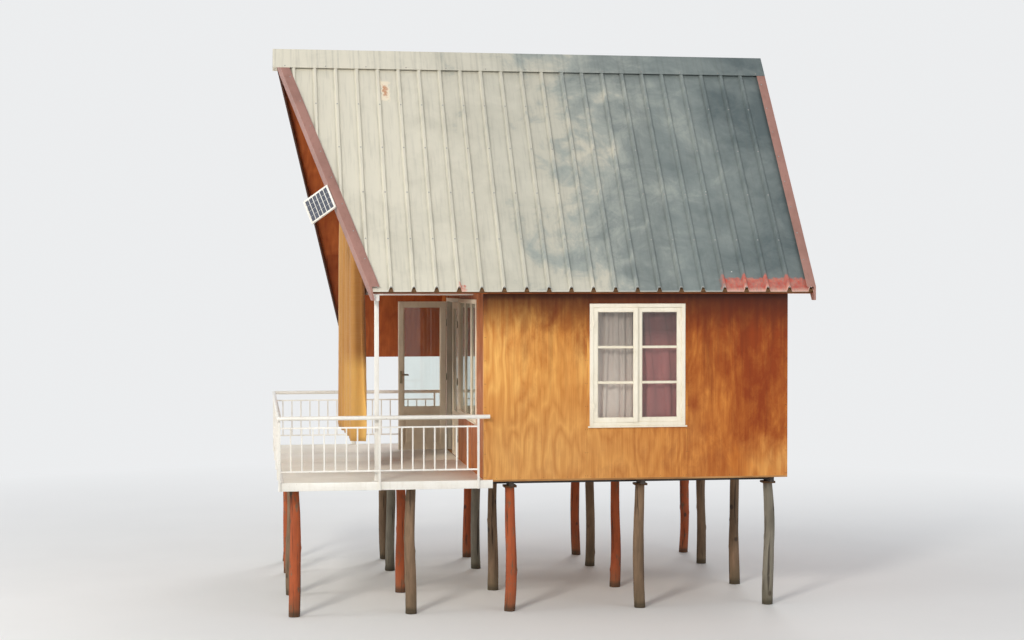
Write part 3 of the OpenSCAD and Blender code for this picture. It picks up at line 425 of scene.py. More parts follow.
def cloth(name, colour, shade, through, sun_and_shade=None, worn=None):
    """Thin woven cloth that lets some light through.

    The argument after through paints light and shade: two places in y, a shaded colour, a height and a sunlit
    colour. Towards the second place the cloth takes the painted shade above that height and painted sunlight
    below it.
    worn gives two heights and a share: towards the second height the cloth darkens by that share, as painted
    shade under the eave.
    """
    k = Look(name)
    x, y, z = k.parts(k.place)
    slub = k.grain(0.02, 240.0, 3.0, 0.6)
    weft = k.noise(k.mapped(k.place, (0.02, 0.02, 1)), 240.0, 3.0, 0.6)
    weave = 1800.0
    thread = k.sum("SINE", (x + y) * weave) * k.sum("SINE", z * weave)
    made = k.over(colour, shade, k.grain(0.25, 5.0, 4.0, 0.6), 0.3, 0.75, 0.6)
    if sun_and_shade:
        # Painted light and shade: towards the rear the cloth takes a shaded colour above the height and a
        # sunlit colour below it.
        near, far, shaded_colour, low, sunlit_colour = sun_and_shade
        wave = k.grain(0.3, 2.4) * 0.10
        over = k.fit(z + wave, low - 0.06, low + 0.16)
        rear = k.fit(y + wave, near + 0.05, far + 0.05)
        made = k.mix(rear * 0.85, made, k.mix(over, sunlit_colour, shaded_colour))
    if worn:
        # Painted shade: the cloth darkens towards its head, as under the eave.
        made = k.over(made, k.mix(0.6, shade, (40, 26, 24)), z, worn[0], worn[1], worn[2])
    made = k.over(made, shade, slub, 0.35, 0.75, 0.28)
    made = k.over(made, k.mix(0.5, colour, (240, 226, 200)), weft, 0.4, 0.8, 0.14)
    normal = k.bump(weft * 0.5 + slub + thread * 0.10, 0.0004, 0.4)
    front = k.solid(made, 0.88, normal, Sheen_Weight=0.25, Sheen_Roughness=0.5, Specular_IOR_Level=0.2)
    return k.done(k.blend(through, front, k.node("BsdfTranslucent", {"Color": made, "Normal": normal})))


def solar_cells():
    """Dark solar cells under glass."""
    k = Look("solar_cells")
    made = k.over((66, 70, 82), (86, 90, 102), k.noise(k.place, 40.0, 2.0), 0.4, 0.7)
    return k.done(k.solid(made, 0.16, k.bump(k.noise(k.place, 120.0), 0.0002, 0.4), Coat_Weight=0.5))


def metal(name, colour, rough, rust):
    """Worn bare metal with specks of rust."""
    k = Look(name)
    fine = k.noise(k.place, 180.0, 4.0, 0.6)
    made = k.over(colour, k.mix(0.5, colour, (70, 66, 60)), fine, 0.4, 0.7, 0.5)
    made = k.over(made, (128, 70, 38), k.noise(k.place, 60.0, 5.0), 0.52, 0.62, rust)
    return k.done(k.solid(made, k.fit(fine, 0.3, 0.7, rough - 0.06, rough + 0.12),
                          k.bump(fine, 0.0003, 0.5), Metallic=0.85))


LOOKS = {
    # side_ply has a painted eave shadow at its top and pools of painted sunlight on it.
    "side_ply": plywood("side_ply", (226, 160, 80), (190, 118, 50), (142, 62, 18), (1, 0, 2),
                        (Y_FRONT, FLOOR), weather=(0.70, 0.70, -0.28), eave_shadow=(2.28, 0.90),
                        sun_pools=((Y_FRONT + 0.10, FLOOR + 1.40, 0.25, 0.22, 0.66),
                                (Y_FRONT + 1.15, FLOOR + 1.30, 0.10, 0.10, 0.50),
                                (Y_REAR - 0.10, FLOOR + 0.02, 0.16, 0.10, 0.48))),
    "gable_ply": plywood("gable_ply", (204, 124, 60), (172, 94, 42), (138, 64, 24), (0, 1, 2),
                         (X_LEFT, FLOOR), weather=(0.30, 0.0, 0.10)),
    "floor_ply": plywood("floor_ply", (206, 160, 106), (172, 122, 72), (128, 86, 50), (0, 2, 1),
                         (X_LEFT, Y_FRONT), gloss=0.55),
    "roof": roof_paint(),
    "white": paint("white_steel", (240, 237, 229), (206, 196, 178), 0.34, 0.40, 2.4, (150, 126, 104)),
    "cream": paint("cream_wood", (247, 239, 220), (214, 200, 170), 0.42, 0.42, 3.0, (168, 142, 104)),
    "beige": paint("beige_wood", (236, 220, 194), (196, 172, 140), 0.40, 0.4, 3.0),
    "verge_near": paint("verge_brown", (168, 124, 112), (132, 94, 82), 0.5, 0.7, 2.2, (104, 76, 64)),
    "verge_far": paint("verge_dark", (78, 42, 28), (48, 26, 18), 0.38, 0.6, 2.2, (132, 92, 70)),
    "dark_steel": paint("dark_steel", (52, 46, 42), (92, 78, 62), 0.55, 0.5, 3.0, (110, 66, 40)),
    "bulb": paint("bulb_white", (244, 242, 236), (214, 208, 194), 0.25, 0.2, 12.0),
    "deck": deck_board(),
    "log_bare": log_wood("log_bare", (150, 122, 96), (98, 80, 62)),
    "log_pale": log_wood("log_pale", (150, 142, 126), (106, 100, 88)),
    "log_red": log_wood("log_red", (142, 112, 86), (92, 70, 54), (184, 92, 52)),
    "timber": sawn_timber("rough_timber", (128, 96, 66), (84, 60, 40), 0),
    "purlin": sawn_timber("purlin_timber", (146, 110, 74), (98, 70, 46), 1),
    "glass": glass(),
    # ochre carries painted sunlight and painted shade.
    "ochre": cloth("ochre_cloth", (214, 160, 86), (178, 122, 60), 0.22,
                   sun_and_shade=(-2.33, -2.06, (140, 82, 40), 2.93, (250, 206, 118))),
    # mauve and pale_cloth carry a painted shade at their heads.
    "mauve": cloth("mauve_cloth", (214, 124, 124), (146, 78, 82), 0.22, worn=(3.10, 3.32, 0.82)),
    "pale_cloth": cloth("pale_cloth", (255, 232, 226), (242, 206, 198), 0.18, worn=(2.62, 3.50, 0.75)),
    "olive_cloth": cloth("olive_cloth", (150, 140, 108), (108, 100, 74), 0.3),
    "cells": solar_cells(),
    "zinc": metal("zinc_screws", (176, 176, 172), 0.38, 0.35),
    "brass": metal("hinge_steel", (150, 138, 112), 0.35, 0.15),
    "nail": metal("nail_heads", (92, 76, 62), 0.5, 0.8),
}
for side, turn in (("right", -PITCH), ("left", PITCH)):
    LOOKS["lining_ply_" + side] = plywood("lining_ply_" + side, (190, 104, 52), (154, 74, 34), (122, 48, 20),
                                          (1, 2, 0), (NOSE_Y, 0.0), turn)


# Mesh helpers


def tube_faces(rings, sides):
    """Quads between rings of points, and a cap at either end."""
    faces = []
    for j, k in itertools.product(range(rings - 1), range(sides)):
        a, b = j * sides + k, j * sides + (k + 1) % sides
        faces.append([a, b, b + sides, a + sides])
    return faces + [list(range(sides))[::-1], list(range((rings - 1) * sides, rings * sides))]


class Parts:
    """Boxes, bars and plates that become one mesh."""

    def __init__(self):
        self.points, self.faces, self.looks = [], [], []

    def add(self, points, faces, matrix=STILL, look=0):
        first = len(self.points)
        self.points += [matrix @ Vector(p) for p in points]
        order = -1 if matrix.determinant() < 0 else 1
        self.faces += [[first + i for i in face][::order] for face in faces]
        self.looks += [look] * len(faces)

    def convex(self, points, faces, matrix=STILL, look=0):
        """A convex solid: each face is turned to point away from the middle."""
        points = [Vector(p) for p in points]
        middle = sum(points, Vector()) / len(points)
        turned = []
        for face in faces:
            a, b, c = (points[i] for i in face[:3])
            outward = (b - a).cross(c - b).dot(a - middle) > 0
            turned.append(face if outward else face[::-1])
        self.add(points, turned, matrix, look)

    def box(self, lo, hi, matrix=STILL, look=0, edge=0.0015):
        """A box with chamfered edges: three points at each corner, one for each face that meets there."""
        lo, hi = [min(pair) for pair in zip(lo, hi)], [max(pair) for pair in zip(lo, hi)]
        edge = min(edge, 0.45 * min(b - a for a, b in zip(lo, hi)))
        points = []
        for *corner, face in itertools.product((0, 1), (0, 1), (0, 1), range(3)):
            cut = [edge * (i != face) for i in range(3)]
            points.append([hi[i] - cut[i] if corner[i] else lo[i] + cut[i] for i in range(3)])
        faces = [[3 * i, 3 * i + 1, 3 * i + 2] for i in range(8)]
        step = (12, 6, 3)
        for axis in range(3):
            one, two = (i for i in range(3) if i != axis)
            square = [p * step[one] + q * step[two] for p, q in ((0, 0), (1, 0), (1, 1), (0, 1))]
            for side in (0, step[axis]):
                faces.append([side + a + axis for a in square])
            for a in sorted(square):
                b = a + step[axis]
                faces.append([a + one, a + two, b + two, b + one])
        self.convex(points, faces, matrix, look)

    def bar(self, start, end, radius, sides=12, edge=0.001, matrix=STILL, look=0, tip=None):
        """A round bar, or a cone with another radius at its tip, with chamfered ends."""
        start, end, tip = Vector(start), Vector(end), tip or radius
        along = (end - start).normalized()
        turn = along.to_track_quat("Z", "Y").to_matrix()
        edge = min(edge, 0.4 * min(radius, tip), 0.4 * (end - start).length)
        rings = ((start, radius - edge), (start + along * edge, radius), (end - along * edge, tip),
                 (end, tip - edge))
        points = []
        for (centre, r), k in itertools.product(rings, range(sides)):
            a = math.tau * k / sides
            points.append(centre + turn @ Vector((r * math.cos(a), r * math.sin(a), 0)))
        self.convex(points, tube_faces(4, sides), matrix, look)

    def screw(self, at, up, size, matrix=STILL, look=0):
        """A hexagon head, with a washer if it has one."""
        radius, height, washer = size
        at, up, washer_t = Vector(at), Vector(up), 0.0015
        if washer:
            self.bar(at, at + up * washer_t, washer, 10, 0.0004, matrix, look)
        self.bar(at, at + up * (height + 0.001), radius, 6, 0.0008, matrix, look)

    def nail(self, at, out, radius=0.0035, sides=7):
        """A flat head that stands just out of a face."""
        at, out, sunk, proud = Vector(at), Vector(out), 0.001, 0.0006
        self.bar(at - out * sunk, at + out * proud, radius, sides, 0.0004)

    def groove(self, across, into, along, matrix=STILL):
        """A seam to cut: across and into are (axis, place), and along is (axis, start, end)."""
        lo, hi = Vector(), Vector()
        for (axis, at), half in ((across, SEAM_W / 2), (into, SEAM_D)):
            lo[axis], hi[axis] = at - half, at + half
        lo[along[0]], hi[along[0]] = along[1:]
        self.box(lo, hi, matrix, edge=0)

    def ring(self, matrix, lo, hi, member, rails=(), edge=0.003, up=2):
        """Two stiles with rails between them, and more rails at given heights as (low, high)."""
        inner = lo[0] + member, hi[0] - member
        ends = [(low, high, *inner) for low, high in
                ((lo[up], lo[up] + member), (hi[up] - member, hi[up]), *rails)]
        for low, high, left, right in ((lo[up], hi[up], lo[0], inner[0]), (lo[up], hi[up], inner[1], hi[0]),
                                       *ends):
            start, end = Vector(lo), Vector(hi)
            start.x, end.x, start[up], end[up] = left, right, low, high
            self.box(start, end, matrix, 0, edge)

    def mesh(self, name):
        made = bpy.data.meshes.new(name)
        made.from_pydata([tuple(p) for p in self.points], [], self.faces)
        return made


def linked(name, data):
    made = bpy.data.objects.new(name, data)
    scene.collection.objects.link(made)
    return made


def placed(name, mesh, body, node, angle=35):
    """The finished mesh as a named object that rides on a body, in place of a CAD node if it has one."""
    mesh.polygons.foreach_set("use_smooth", [True] * len(mesh.polygons))
    mesh.set_sharp_from_angle(angle=math.radians(angle))
    made = linked(name, mesh)
    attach(made, body)
    if node:
        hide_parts(node)
    return made


def piece(name, parts, looks, node=None, body="house", angle=35):
    """Makes the collected parts one named object."""
    mesh = parts.mesh(name)
    for look in looks:
        mesh.materials.append(LOOKS[look])
    mesh.polygons.foreach_set("material_index", parts.looks)
    mesh.validate()
    return placed(name, mesh, body, node, angle)


def recoloured(node, look):
    """A CAD node that stays and gets a look."""
    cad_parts[node].data.materials.clear()
    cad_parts[node].data.materials.append(LOOKS[look])


def solids(node):
    """The separate solids of a CAD node, each as an array of its points."""
    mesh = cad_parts[node].data
    points = np.array([v.co for v in mesh.vertices], float)
    keys = {}
    same = np.array([keys.setdefault(tuple(np.round(p, 5)), len(keys)) for p in points])
    parent = list(range(len(keys)))

    def root(i):
        while parent[i] != i:
            parent[i] = parent[parent[i]]
            i = parent[i]
        return i

    for a, b in mesh.edge_keys:
        parent[root(same[a])] = root(same[b])
    groups = {}
    for i, k in enumerate(same):
        groups.setdefault(root(k), []).append(i)
    return [points[g] for g in sorted(groups.values())]


def upright(points):
    """(matrix, size) of an upright box: x along its width, y into the house, z up, from its outer corner."""
    level = points[:, :2] - points[:, :2].mean(0)
    inward = np.linalg.eigh(level.T @ level)[1][:, 0]
    axis = int(np.argmax(np.abs(inward)))
    if inward[axis] * (MID[axis] - points[:, axis].mean()) < 0:
        inward = -inward
    basis = np.array([[inward[1], -inward[0], 0], [*inward, 0], [0, 0, 1]])
    local = points @ basis.T
    matrix = Matrix(basis.T.tolist()).to_4x4()
    matrix.translation = basis.T @ local.min(0)
    return matrix, Vector(local.max(0) - local.min(0))


def slope(side):
    """x down the slope, y along the ridge, z square on the lining."""
    flip = Matrix.Diagonal((-1 if side == "left" else 1, 1, 1, 1))
    return Matrix.Translation((RIDGE_X, 0, RIDGE_Z)) @ flip @ Matrix.Rotation(PITCH, 4, "Y")


def slope_length(side):
    return abs(EAVE_X[side] - RIDGE_X) / math.cos(PITCH)


def verge_y(side, down):
    """The front edge of the roof at a distance down the slope."""
    eave = Y_FRONT - VERGE_REACH
    return NOSE_Y + NOSE_CUT + (eave - NOSE_Y - NOSE_CUT) * down / slope_length(side)


def dressed(node, suffix, look, edge=0.0, cutters=None):
    """A CAD node's own shape with its split points joined, seams cut into it and its edges eased."""
    name = node + suffix
    bm = bmesh.new()
    bm.from_mesh(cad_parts[node].data)
    bmesh.ops.remove_doubles(bm, verts=bm.verts, dist=1e-5)
    mesh = bpy.data.meshes.new(name + "_copy")
    bm.to_mesh(mesh)
    bm.free()
    mesh.materials.clear()
    made = linked(name, mesh)
    helpers = [made]
    if cutters:
        helpers.append(linked(name + "_cutters", cutters.mesh(name + "_cutters")))
        cut = made.modifiers.new("seams", "BOOLEAN")
        cut.operation, cut.solver, cut.object, cut.use_self = "DIFFERENCE", "EXACT", helpers[1], True
    if edge:
        ease = made.modifiers.new("ease", "BEVEL")
        ease.width, ease.segments, ease.limit_method = edge, 2, "ANGLE"
        ease.angle_limit = math.radians(40)
    mesh = bpy.data.meshes.new_from_object(made.evaluated_get(bpy.context.evaluated_depsgraph_get()))
    for helper in helpers:
        bpy.data.objects.remove(helper)
    mesh.materials.clear()
    mesh.materials.append(LOOKS[look])
    mesh.polygons.foreach_set("material_index", [0] * len(mesh.polygons))
    for layer in list(mesh.attributes):
        if layer.name in ("custom_normal", "sharp_edge"):
            mesh.attributes.remove(layer)
    mesh.name = name
    placed(name, mesh, "house", node)


def steps(lo, hi, gap):
    """Even places between lo and hi, no further apart than gap, both ends among them."""
    count = max(1, math.ceil((hi - lo) / gap - 1e-6))
    return [lo + (hi - lo) * k / count for k in range(count + 1)]


# Walls


def wall_height(x):
    return RIDGE_Z - abs(x - RIDGE_X) * math.tan(PITCH)


def side_wall(nails, node, x_out, x_in):
    """Three plywood sheets with open seams on both faces, nailed along their edges."""
    cuts = Parts()
    out = (1 if x_out > x_in else -1, 0, 0)
    top = wall_height(x_out)
    seams = [Y_FRONT + SHEET_W, Y_FRONT + 2 * SHEET_W]
    first, last = Y_FRONT + NAIL_IN, Y_REAR - NAIL_IN
    for seam, x in itertools.product(seams, (x_out, x_in)):
        cuts.groove((1, seam), (0, x), (2, FLOOR - 0.1, top + 0.3))
    for seam, side in itertools.product((first, *seams, last), (-NAIL_IN, NAIL_IN)):
        y = min(max(seam + side, first), last)
        for z in steps(FLOOR + 0.03, top - 0.08, NAIL_GAP):
            nails.nail((x_out, y, z), out)
    for y in steps(Y_FRONT + 0.15, Y_REAR - 0.15, NAIL_GAP):
        nails.nail((x_out, y, FLOOR + 0.02), out)
    dressed(node, "_sheets", "side_ply", cutters=cuts)


def gable_cuts(faces, rows):
    """Seams of a gable wall: four columns of sheets, with rows that end at given heights."""
    cuts = Parts()
    for y in faces:
        for x in SEAMS_X:
            cuts.groove((0, x), (1, y), (2, FLOOR - 0.1, RIDGE_Z))
        for z in rows:
            cuts.groove((2, z), (1, y), (0, X_LEFT - 0.1, X_RIGHT + 0.1))
    return cuts


def walls():
    nails = Parts()
    side_wall(nails, "right_wall", X_RIGHT, X_RIGHT - WALL_T)
    side_wall(nails, "left_wall", X_LEFT, X_LEFT + WALL_T)
    rear = gable_cuts((Y_REAR, Y_REAR - WALL_T), (FLOOR + SHEET_L, FLOOR + 2 * SHEET_L))
    dressed("rear_wall", "_sheets", "gable_ply", cutters=rear)
    front = gable_cuts((Y_FRONT, Y_FRONT + WALL_T), (LOFT + SHEET_L / 2,))
    for node in ("front_wall_panels", "front_wall_base", "front_wall_head", "front_gable"):
        dressed(node, "_sheets", "gable_ply", 0.001, front)
    sides = (-NAIL_IN, NAIL_IN)
    gables = ((Y_REAR, 1, FLOOR), (Y_FRONT, -1, LOFT))
    for (y, out, low), seam, side in itertools.product(gables, SEAMS_X, sides):
        x = seam + side
        for z in steps(low + 0.03, wall_height(x) - 0.06, NAIL_GAP):
            at_door = out < 0 and -0.25 < x < 1.0 and z < LOFT + 2.0
            at_window = out > 0 and z < LOFT and abs(x - MID.x) < 0.6
            if not at_door and not at_window:
                nails.nail((x, y, z), (0, out, 0))
    piece("wall_nails", nails, ["nail"])


# Roof


def slope_screws(screws, side):
    """Screws on the ribs over each purlin, and along the verge trims and the ridge cap."""
    place, up = slope(side), (0, 0, 1)
    back = place.inverted()
    rows = sorted({round((back @ Vector(p.mean(0))).x, 2) for p in solids("roof_purlins")
                   if (p.mean(0)[0] > RIDGE_X) == (side == "right")})
    first = math.ceil((NOSE_Y - Y_FRONT - RIB_START) / RIB_GAP)
    last = math.floor((TAIL_Y - Y_FRONT - RIB_START) / RIB_GAP)
    for down, k in itertools.product(rows, range(first, last + 1)):
        y = Y_FRONT + RIB_START + k * RIB_GAP
        if verge_y(side, down) + TRIM_REACH < y < TAIL_Y - TRIM_REACH and down > CAP_REACH:
            screws.screw((down, y, RIB_N), up, SHEET_SCREW, place)
    for down in steps(0.35, slope_length(side) - 0.12, 0.45):
        for y in (verge_y(side, down) + TRIM_MID, TAIL_Y - TRIM_MID):
            screws.screw((down, y, CAP_N), up, TRIM_SCREW, place)
    for y in steps(NOSE_Y + 0.15, TAIL_Y - 0.12, 2 * RIB_GAP):
        screws.screw((CAP_REACH, y, CAP_N + 0.003), up, TRIM_SCREW, place)


def lining(side):
    cuts, place = Parts(), slope(side)
    for down in (SHEET_L, 2 * SHEET_L):
        cuts.groove((0, down), (2, 0), (1, NOSE_Y - 1, TAIL_Y + 1), place)
    for y in np.arange(NOSE_Y + SHEET_W, TAIL_Y, SHEET_W):
        cuts.groove((1, y), (2, 0), (0, -1, slope_length(side) + 1), place)
    dressed("roof_lining_" + side, "_sheets", "lining_ply_" + side, cutters=cuts)


def roof():
    for node in ("roof_sheets_right", "roof_sheets_left", "ridge_cap"):
        recoloured(node, "roof")
    screws = Parts()
    for side in ("right", "left"):
        slope_screws(screws, side)
        lining(side)
    piece("roof_screws", screws, ["zinc"])
    dressed("verge_trim_right", "_finished", "verge_near", edge=0.0015)
    dressed("verge_trim_left", "_finished", "verge_far", edge=0.0015)
    dressed("roof_purlins", "_finished", "purlin", edge=0.001)


# Floors


def deck():
    """Sheets across the deck, screwed down beside each seam and along the middle of each sheet."""
    cuts, screws = Parts(), Parts()
    lo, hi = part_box("deck_floor")
    for x in SEAMS_X:
        cuts.groove((0, x), (2, hi.z), (1, lo.y - 1, hi.y + 1))
    dressed("deck_floor", "_boards", "deck", 0.0015, cuts)
    beside, middles = 0.02, [x - SHEET_W / 2 for x in SEAMS_X] + [SEAMS_X[-1] + SHEET_W / 2]
    for x in sorted(SEAMS_X + middles):
        for side in ((-beside, beside) if x in SEAMS_X else (0.0,)):
            for y in steps(lo.y + 0.06, hi.y - 0.06, NAIL_GAP):
                screws.nail((x + side, y, hi.z), (0, 0, 1), 0.0045, 8)
    piece("deck_screws", screws, ["zinc"])


def floors():
    far = 9
    for node, top in (("house_floor", FLOOR), ("loft_floor", LOFT), ("balcony_floor", LOFT)):
        cuts = Parts()
        for x in SEAMS_X:
            cuts.groove((0, x), (2, top), (1, -far, far))
        cuts.groove((1, Y_FRONT + SHEET_L), (2, top), (0, -far, far))
        dressed(node, "_boards", "floor_ply", cutters=cuts)
    for node in ("floor_bearers", "floor_joists"):
        dressed(node, "_finished", "dark_steel", 0.002)
    dressed("stilt_packers", "_finished", "timber", 0.003)


# Stilts


def eased(values, t):
    """A smooth curve through evenly spaced values, at t from 0 to 1."""
    last = len(values) - 1
    k = min(int(t * last), last - 1)
    f = t * last - k
    a, b, c, d = (values[min(max(i, 0), last)] for i in (k - 1, k, k + 1, k + 2))
    square, cube = 2 * a - 5 * b + 4 * c - d, 3 * b - a - 3 * c + d
    return 0.5 * (2 * b + (c - a) * f + square * f * f + cube * f ** 3)


def log_mesh(parts, points, seed, look):
    """A crooked log: rings along the stilt's own centre line, with dents, flats and knots."""
    levels = sorted(set(np.round(points[:, 2], 3)))
    rings = [points[np.abs(points[:, 2] - z) < 0.002] for z in levels]
    centres = [ring.mean(0) for ring in rings]
    radii = [np.linalg.norm(ring[:, :2] - c[:2], axis=1).mean() for ring, c in zip(rings, centres)]
    rows, sides = 46, 28
    rng = random.Random(seed)
    knots = [(rng.random() * math.tau, rng.random(), rng.uniform(0.004, 0.010)) for _ in range(5)]
    made = []
    for t in (j / rows for j in range(rows + 1)):
        centre, radius = eased(centres, t), eased(radii, t)
        for a in (math.tau * k / sides for k in range(sides)):
            x, y = math.cos(a), math.sin(a)
            wave = noise.noise(Vector((x * 1.1 + seed, y * 1.1, t * 3.0))) * 0.006
            wave += noise.noise(Vector((x * 6 + seed, y * 6, t * 9.0))) * 0.0016
            for angle, height, lump in knots:
                wave += lump * math.exp(-((1 - math.cos(a - angle)) / 0.06) - ((t - height) / 0.022) ** 2)
            made.append((centre[0] + (radius + wave) * x, centre[1] + (radius + wave) * y, centre[2]))
    parts.add(made, tube_faces(rows + 1, sides), look=look)


def stilts():
    for node, slot, order in (("deck_stilts", "log_painted", (0, 1, 0, 2, 1, 0, 2, 1)),
                              ("house_stilts", "log_bare", (0, 1, 2, 0, 1, 0, 1, 0, 2, 1, 1, 0))):
        parts = Parts()
        stems = sorted(solids(node), key=lambda p: (round(p[:, 1].mean(), 1), -p[:, 0].mean()))
        for i, (points, look) in enumerate(zip(stems, order)):
            log_mesh(parts, points, 10 * len(order) + i, look)
        piece(node + "_logs", parts, ["log_red", "log_bare", "log_pale"], node, angle=60)


# Steelwork


def steelwork():
    tubes = ["veranda_posts", "rafter_tube_right", "rafter_tube_left", "collar_tube", "balcony_channel",
             "balcony_posts"]
    sides = ["front", "right", "left"]
    channels = ["deck_channel_" + side for side in sides]
    rails = [kind + side for kind in ("railing_", "balcony_railing_") for side in sides]
    for edge, nodes in ((0.003, channels + tubes), (0.0015, rails)):
        for node in nodes:
            dressed(node, "_finished", "white", edge)
    plates = Parts()
    reach, bolt_at, thick = 0.030, 0.016, 0.006
    for points in solids("veranda_posts"):
        lo, hi = Vector(points.min(0)), Vector(points.max(0))
        plates.box((lo.x, lo.y - reach, lo.z), (hi.x, hi.y + reach, lo.z + thick), edge=0.001)
        for y in (lo.y - bolt_at, hi.y + bolt_at):
            plates.screw(((lo.x + hi.x) / 2, y, lo.z + thick), (0, 0, 1), PLATE_SCREW)
    piece("post_plates", plates, ["white"])


# Windows and doors


def sill(parts, matrix, size):
    reach, out, thick = 0.020, 0.012, 0.018
    parts.box((-reach, -out, -thick), (size.x + reach, WIN_OUT, 0), matrix)


def between(start, bars, half, end):
    """The gaps that bars of a half width leave from start to end."""
    return zip([start] + [at + half for at in bars], [at - half for at in bars] + [end])


def casements():
    """Frames with hinges and sills, and sashes with glazing bars and beads."""
    frames, sashes, hinges = Parts(), Parts(), Parts()
    for points in solids("window_frames"):
        matrix, size = upright(points)
        frames.ring(matrix, (0, 0, 0), size, FRAME_W)
        sill(frames, matrix, size)
        for x, z in itertools.product((FRAME_W, size.x - FRAME_W), (0.16 * size.z, 0.84 * size.z)):
            low, high, pin_y, reach = z - 0.035, z + 0.035, -0.004, 0.022
            hinges.bar((x, pin_y, low), (x, pin_y, high), 0.005, 10, 0.001, matrix)
            hinges.box((x - reach, pin_y / 2, low), (x + reach, 0.0005, high), matrix, edge=0.0005)
    for points in solids("window_sashes"):
        matrix, size = upright(points)
        left, right, top = SASH_W, size.x - SASH_W, size.z - SASH_W
        fields = 3 if size.z > 1.0 else 2
        bars = [SASH_W + (size.z - 2 * SASH_W) * k / fields for k in range(1, fields)]
        for z in bars:
            sashes.box((left, 0.006, z - BAR_W / 2), (right, SASH_D - 0.004, z + BAR_W / 2), matrix,
                       edge=0.004)
        sashes.ring(matrix, (0, 0, 0), size, SASH_W)
        for low, high in between(SASH_W, bars, BAR_W / 2, top):
            sashes.ring(matrix, (left, 0.004, low), (right, (SASH_D - GLASS_T) / 2, high), 0.006)
    piece("window_frames_wood", frames, ["cream"], "window_frames")
    piece("window_sashes_wood", sashes, ["cream"], "window_sashes")
    piece("window_hinges", hinges, ["cream"])


def front_window():
    """A wide frame with two mullions and three beaded panes."""
    front = Parts()
    matrix, size = upright(solids("front_window_frame")[0])
    front.ring(matrix, (0, 0, 0), size, FRAME_W)
    half, top = SASH_W / 2, size.z - FRAME_W
    mullions = (size.x / 3, size.x * 2 / 3)
    for x in mullions:
        front.box((x - half, WIN_OUT, FRAME_W), (x + half, WIN_OUT + SASH_D, top), matrix, 0, 0.003)
    for a, b in between(FRAME_W, mullions, half, size.x - FRAME_W):
        front.ring(matrix, (a, WIN_OUT + 0.004, FRAME_W), (b, WIN_OUT + (SASH_D - GLASS_T) / 2, top), 0.010)
    sill(front, matrix, size)
    piece("front_window_wood", front, ["beige"], "front_window_frame")


def half_hinge(parts, matrix, z, way, gap=0.0):
    """A knuckle with its plate and screws: way is 1 for the leaf's, over z, and -1 for the frame's."""
    low, high = sorted((z, z + way * KNUCKLE_L))
    reach, screw_at, face = 0.025, 0.015, HINGE_BACK - HINGE_T
    parts.bar((0, 0, low), (0, 0, high), KNUCKLE_R, 16, 0.0008, matrix, 1)
    parts.box((0, face, low), (gap + way * reach, HINGE_BACK, high), matrix, 1, 0.0005)
    for rise in (0.010, 0.035):
        parts.screw((gap + way * screw_at, face, z + way * rise), (0, -1, 0), HINGE_SCREW, matrix, 1)


def leaf(parts, matrix, width, height):
    """A glazed leaf over a flush panel, from its hinge axis: x to the meeting edge, y into the wall."""
    front, back = HINGE_BACK, HINGE_BACK + LEAF_T
    mid = (front + back) / 2
    low, high = LOCK_RAIL - STILE_W / 2, LOCK_RAIL + STILE_W / 2
    parts.ring(matrix, (LEAF_GAP, front, 0), (LEAF_GAP + width, back, height), STILE_W, ((low, high),))
    a, b = LEAF_GAP + STILE_W, LEAF_GAP + width - STILE_W
    for inset, thick, edge in ((0, PANEL_T, 0.001), (0.035, PANEL_T + 0.008, 0.004)):
        parts.box((a + inset, mid - thick / 2, STILE_W + inset), (b - inset, mid + thick / 2, low - inset),
                  matrix, 0, edge)
    for p, q in ((front + 0.006, mid - GLASS_T / 2), (mid + GLASS_T / 2, back - 0.006)):
        parts.ring(matrix, (a, p, high), (b, q, height - STILE_W), 0.010)
    for z in HINGE_Z:
        half_hinge(parts, matrix, z + KNUCKLE_GAP, 1, LEAF_GAP)


def handle(parts, matrix, x, y, z, out):
    """A lever on a plate; out is -1 on the outer face and 1 on the inner one."""
    half_w, half_h, face, neck_z = 0.016, 0.085, y + out * 0.004, z + 0.03
    parts.box((x - half_w, y, z - half_h), (x + half_w, face, z + half_h), matrix, 1)
    parts.bar((x, face, neck_z), (x, y + out * 0.038, neck_z), 0.008, 14, 0.001, matrix, 1)
    lever_from, lever_to = (x - 0.105, y + out * 0.030, z + 0.022), (x + 0.010, y + out * 0.042, z + 0.040)
    parts.box(lever_from, lever_to, matrix, 1, 0.004)


def opening(node):
    """A door frame's two corners, and the left, right and head of its opening."""
    lo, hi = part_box(node)
    return lo, hi, lo.x + FRAME_W, hi.x - FRAME_W, hi.z - FRAME_W


